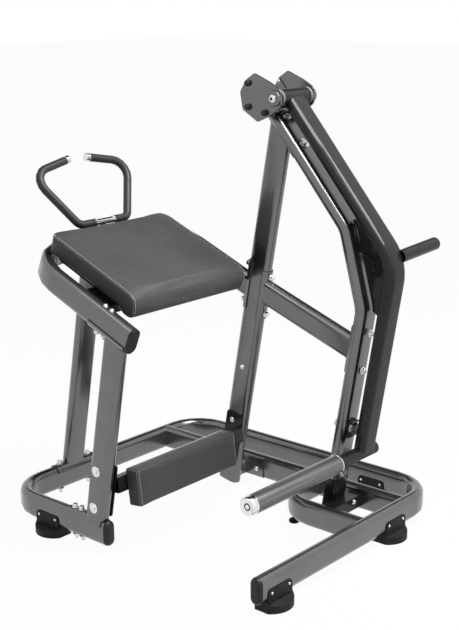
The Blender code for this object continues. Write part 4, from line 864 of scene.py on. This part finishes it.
# Bumper on its bracket: grey rubber, a nylon washer beside it, a folded flange above, a dome nut in front
bumper = {"cadRadius": 0.021, "radius": 0.0205, "edge": 0.002, "aside": 0.010, "drop": 0.003,
          "washer": (0.0160, 0.0035), "washerAside": 0.015, "washerRise": 0.004,
          "flange": (0.044, 0.012, 0.002), "flangeBevel": 0.0012, "flangeRise": 0.030, "flangeOut": 0.4,
          "dome": [(0.0150, 0), (0.0150, 0.005), (0.0140, 0.010), (0.0105, 0.014), (0.0050, 0.016)],
          "domeAngle": 50, "domeAside": 0.014, "throughPlate": 0.0588}


def addBumper():
    low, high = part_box("bumper")
    radius, edge = bumper["radius"], bumper["edge"]
    long = ((high - low).y - 2 * bumper["cadRadius"] * abs(lowRear.z)) / abs(lowRear.y)
    base = (low + high) / 2 - lowRear * long / 2
    stop = drawUp("bumperRubber", [(radius - edge, 0.0002), (radius, edge), (radius, long - edge),
                                   (radius - edge, long - 0.0002)], 40)
    place = base + axisX * bumper["aside"] - lowUp * bumper["drop"]
    setTurned(stop, place, lowRear, "frame", "foot_rubber", bumperFinish)
    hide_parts("bumper")
    disc = washerDisc("bumperWasher", *bumper["washer"])
    place = base - axisX * bumper["washerAside"] + lowUp * bumper["washerRise"]
    setTurned(disc, place, lowRear, "frame", "cap_plastic", nylonFinish)
    dome = drawUp("bumperDomeNut", bumper["dome"], 36)
    turnTo(dome, base - lowRear * bumper["throughPlate"] - axisX * bumper["domeAside"], -lowRear)
    smoothPiece(dome, angle=bumper["domeAngle"], weighted=False)
    finishPiece(dome, "frame", "bright_steel", zincFinish)
    flange = addBlock("bumperFlange", bumper["flange"], bumper["flangeBevel"])
    out = bumper["flange"][1] * bumper["flangeOut"]
    turnTo(flange, base + lowUp * bumper["flangeRise"] + lowRear * out, lowUp, axisX)
    smoothPiece(flange)
    finishPiece(flange, "frame", "frame_paint")


addBumper()
print("bumper finished")


# Far cheek: a thin black strip along a dark line on its inner side as (y, z) ends, and a bolt end
farCheek = {"edge": ((-0.022, 1.701), (-0.055, 1.662)), "width": 0.005, "rise": 0.002, "bevel": 0.0006,
            "proud": 0.4, "bolt": (-0.020, 1.687)}


def addCheekDetails():
    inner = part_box("cheek_far")[0].x
    rise = farCheek["rise"]
    layStrip("cheekDarkStrip", farCheek["edge"], farCheek["width"], rise, inner - rise * farCheek["proud"],
             farCheek["bevel"], "frame")
    bolt = turnTo(copyOf(models["screw"], "cheekBoltEnd"), (inner, *farCheek["bolt"]), -axisX)
    finishPiece(bolt, "frame", "bright_steel", zincFinish)


addCheekDetails()
print("far cheek finished")


# Gusset: a round boss, a plug and a short bar on the side that faces out, and a lip along the lever.
# Discs are (y, z, radius, height), strips are (ends, width, height, bevel)
gusset = {"boss": (-0.534, 1.043, 0.015, 0.006), "bossEdge": 0.002, "bossDip": 0.0012,
          "bar": (((-0.494, 1.086), (-0.547, 1.067)), 0.012, 0.006, 0.0015),
          "plug": (-0.481, 1.115, 0.0218, 0.004),
          "lip": (((-0.4445, 1.212), (-0.4725, 1.125)), 0.0045, 0.006, 0.001)}


def addGussetDetails():
    low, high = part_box("gusset")
    middle = (low.x + high.x) / 2
    y, z, radius, tall = gusset["boss"]
    edge = gusset["bossEdge"]
    boss = drawUp("gussetBoss", [(radius, 0), (radius, tall - edge), (radius - edge, tall),
                                 (radius * 0.5, tall), (radius * 0.45, tall - gusset["bossDip"])], 40)
    setTurned(boss, (low.x, y, z), -axisX, "lever", "black_paint")
    y, z, radius, tall = gusset["plug"]
    plug = drawUp("gussetPlug", [(radius, 0), (radius, tall)], 40)
    setTurned(plug, (middle + tall / 2, y, z), -axisX, "lever", "black_paint")
    ends, wide, tall, bevel = gusset["bar"]
    layStrip("gussetBar", ends, wide, tall, low.x - tall / 2, bevel, "lever")
    ends, wide, tall, bevel = gusset["lip"]
    layStrip("gussetLip", ends, wide, tall, middle, bevel, "lever")


addGussetDetails()
print("lever details finished")

for model in models.values():
    bpy.data.objects.remove(model)


# Cushions: the CAD form, filled as cloth under pressure, then seams and stitching laid on it
chestPad = {"node": "chest_pad", "middleX": -0.212, "half": 0.300, "top": 0.131, "head": 0.308,
            "hip": -0.177, "nose": 0.046, "base": 0.062, "hipBase": 0.045, "hipBaseTo": -0.06,
            "voxel": 0.006, "shrink": 0.0012, "frames": 20, "mostMove": 0.0055, "seamHold": 0.006,
            "fill": 0.85, "headGap": 0.008, "under": (0.034, 0.068, 262)}
shinPad = {"node": "shin_pad", "middle": (-0.202, 0.027, 0.259), "tilt": -7.8, "size": (0.540, 0.068, 0.145),
           "base": 0.012, "voxel": 0.005, "shrink": 0.001, "frames": 20, "mostMove": 0.003,
           "seamHold": 0.005, "fill": 0.9}
skin = {"quality": 5, "mass": 0.3, "tension_stiffness": 12, "compression_stiffness": 12,
        "shear_stiffness": 8, "bending_stiffness": 1.5, "use_pressure": True, "uniform_pressure_force": 4.0,
        "vertex_group_mass": "held"}
hold = {"base": 1.0, "seam": 0.85, "rise": 0.02}
stitch = {"half": 0.0027, "radius": 0.0008, "tip": 0.0002, "pitch": 0.0088, "sink": 0.0002}
seam = {"radius": 0.0009, "step": 0.006, "proud": 0.15, "backShare": 1.2}


def fillCushion(piece, look, baseHeight, isSeam):
    # Cloth under pressure; the base and the seams are held, and no point moves further than mostMove
    pickOnly(piece)
    rest = [v.co.copy() for v in piece.data.vertices]
    held = piece.vertex_groups.new(name="held")
    for number, co in enumerate(rest):
        if baseHeight(co) <= 0:
            held.add([number], hold["base"], "REPLACE")
        elif isSeam(co):
            held.add([number], hold["seam"], "REPLACE")
    bpy.ops.object.modifier_add(type="CLOTH")
    cloth = piece.modifiers[-1]
    for key, value in skin.items():
        setattr(cloth.settings, key, value)
    cloth.settings.effector_weights.gravity = 0
    cloth.point_cache.frame_start = 1
    cloth.point_cache.frame_end = look["frames"]
    for step in range(1, look["frames"] + 1):
        bpy.context.scene.frame_set(step)
    pickOnly(piece)
    bpy.ops.object.modifier_apply(modifier=cloth.name)
    bpy.context.scene.frame_set(1)
    for vertex, start in zip(piece.data.vertices, rest):
        move = vertex.co - start
        if move.length > look["mostMove"]:
            move *= look["mostMove"] / move.length
        rise = min(1.0, max(0.0, baseHeight(start) / hold["rise"]))
        vertex.co = start + move * rise
    piece.vertex_groups.clear()
    piece.data.update()


def makeCushion(name, look, baseHeight, isSeam):
    piece = mergedCopy(look["node"])
    piece.name = name
    applyModifier(piece, "REMESH", mode="VOXEL", voxel_size=look["voxel"], adaptivity=0.0)
    applyModifier(piece, "SMOOTH", factor=0.5, iterations=2)
    applyModifier(piece, "DISPLACE", strength=-look["shrink"], mid_level=0.0)
    fillCushion(piece, look, baseHeight, isSeam)
    applyModifier(piece, "SUBSURF", levels=1, render_levels=1)
    pickOnly(piece)
    bpy.ops.object.shade_smooth()
    finishPiece(piece, "frame", "pad_leather")
    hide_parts(look["node"])
    return piece


def padPlace(point):
    # How far a point lies up the pad's slope and off it
    offset = Vector(point) - slopeStart
    return offset.dot(slopeV), offset.dot(slopeW)


def chestBase(co):
    v, w = padPlace(co)
    return w - (chestPad["base"] if v > chestPad["hipBaseTo"] else chestPad["hipBase"])


def chestSeam(co):
    v, w = padPlace(co)
    side = abs(abs(co.x - chestPad["middleX"]) - chestPad["half"]) < chestPad["seamHold"]
    return side and (w > chestPad["top"] - chestPad["seamHold"] or v < chestPad["hip"] + chestPad["nose"])


shinUp = Vector((0, -math.sin(math.radians(shinPad["tilt"])), math.cos(math.radians(shinPad["tilt"]))))
shinBack = Vector((0, shinUp.z, -shinUp.y))


def shinPlace(point):
    offset = Vector(point) - Vector(shinPad["middle"])
    return offset.dot(shinBack), offset.dot(shinUp)


def shinBase(co):
    return shinPad["size"][1] / 2 - shinPad["base"] - shinPlace(co)[0]


def shinSeam(co):
    back, up = shinPlace(co)
    width, depth, height = shinPad["size"]
    atEnd = abs(abs(co.x - shinPad["middle"][0]) - width / 2) < shinPad["seamHold"]
    atEdge = abs(abs(up) - height / 2) < shinPad["seamHold"]
    return back < -depth / 2 + shinPad["seamHold"] and (atEnd or atEdge) or (atEnd and atEdge)


chestCushion = makeCushion("chestCushion", chestPad, chestBase, chestSeam)
shinCushion = makeCushion("shinCushion", shinPad, shinBase, shinSeam)
print("cushions filled")


def arcPoints(center, radius, start, end, steps):
    turns = [math.radians(start + (end - start) * step / steps) for step in range(steps + 1)]
    return [(center[0] + radius * math.cos(t), center[1] + radius * math.sin(t)) for t in turns]


def spaced(points, pitch):
    # Points at an even pitch along a line, each with the line's direction there
    found, left = [], pitch / 2
    for first, second in zip(points, points[1:]):
        length = (second - first).length
        while left <= length:
            found.append((first.lerp(second, left / length), (second - first).normalized()))
            left += pitch
        left -= length
    return found


def stitchRings():
    radius, half, tip = (stitch[k] for k in ("radius", "half", "tip"))
    rings = [(tip, half), (radius * 0.8, half * 0.85), (radius, half * 0.5)]
    return [(r, -height) for r, height in rings] + rings[::-1]


stitchModel = drawUp("stitchModel", stitchRings(), 8)


def sewRow(name, cushion, points):
    stitches = []
    for at, way in spaced(points, stitch["pitch"]):
        place, normal = cushion.closest_point_on_mesh(at)[1:3]
        along = (way - normal * way.dot(normal)).normalized()
        one = copyOf(stitchModel, name)
        turnTo(one, place - normal * stitch["sink"], along, normal)
        stitches.append(one)
    row = joinPieces(name, stitches)
    smoothPiece(row, weighted=False)
    finishPiece(row, "frame", "pad_leather", threadFinish)


def layWelt(name, cushion, points, radius, material=None):
    # A fine rolled seam that follows the cushion's surface
    data = bpy.data.curves.new(name, "CURVE")
    data.dimensions = "3D"
    data.bevel_depth = radius
    data.bevel_resolution = 2
    data.use_fill_caps = True
    line = data.splines.new("POLY")
    places = [cushion.closest_point_on_mesh(at)[1:3] for at, way in spaced(points, seam["step"])]
    line.points.add(len(places) - 1)
    for point, (place, normal) in zip(line.points, places):
        point.co = (*(place + normal * radius * seam["proud"]), 1)
    welt = bpy.data.objects.new(name, data)
    bpy.context.scene.collection.objects.link(welt)
    pickOnly(welt)
    bpy.ops.object.convert(target="MESH")
    welt = bpy.context.object
    bpy.ops.object.shade_smooth()
    finishPiece(welt, "frame", "pad_leather", material)


def chestPath(side, reach, off):
    # Down the side's top edge, round the nose and under it; off is how far inside the edge the row runs
    nose, top, hip, head, gap = (chestPad[k] for k in ("nose", "top", "hip", "head", "headGap"))
    underRadius, underRise, underTurn = chestPad["under"]
    outline = [(head - gap, top - off), (hip + nose, top - off)]
    outline += arcPoints((hip + nose, top - nose), nose - off, 90, 180, 14)[1:]
    outline += arcPoints((hip + underRadius, underRise), underRadius - off, 180, underTurn, 8)
    return [alongSlope(chestPad["middleX"] + side * reach, v, w) for v, w in outline]


def sewChest():
    half = chestPad["half"]
    for side, word in ((-1, "Left"), (1, "Right")):
        layWelt(f"chestSeam{word}", chestCushion, chestPath(side, half + 0.002, -0.002), seam["radius"])
        sewRow(f"chestSideStitches{word}", chestCushion, chestPath(side, half + 0.008, 0.006))
        sewRow(f"chestTopStitches{word}", chestCushion, chestPath(side, half - 0.0065, -0.008))


def shinPoint(x, back, up):
    return Vector(shinPad["middle"]) + axisX * x + shinBack * back + shinUp * up


def sewShin():
    # Points lie off the cushion, and each row or welt is laid where its surface is nearest
    width, depth, height = (v / 2 for v in shinPad["size"])
    clear, fine = 0.01, 0.002
    for side, word in ((-1, "Left"), (1, "Right")):
        seamEnds = (height - 0.004, -height + 0.004)
        edge = [shinPoint(side * (width + fine), -depth - fine, up) for up in seamEnds]
        layWelt(f"shinSeam{word}", shinCushion, edge, seam["radius"])
        upDown = (height - 0.006, -height + 0.006)
        face = [shinPoint(side * (width - 0.006), -depth - clear, up) for up in upDown]
        sewRow(f"shinFaceStitches{word}", shinCushion, face)
        end = [shinPoint(side * (width + clear), -depth + 0.006, up) for up in upDown]
        sewRow(f"shinEndStitches{word}", shinCushion, end)
        foreBack = (-depth + 0.008, depth - 0.012)
        top = [shinPoint(side * (width + clear), back, height - 0.005) for back in foreBack]
        sewRow(f"shinTopStitches{word}", shinCushion, top)
    # a welt in white thread along the back top edge: a seam whose white is a painted highlight along that
    # edge
    backEdge = [shinPoint(x, depth - 0.006, height + clear) for x in (-width + clear, width - clear)]
    layWelt("shinBackHighlightWelt", shinCushion, backEdge, seam["radius"] * seam["backShare"], threadFinish)


sewChest()
sewShin()
bpy.data.objects.remove(stitchModel)
print("cushions sewn")
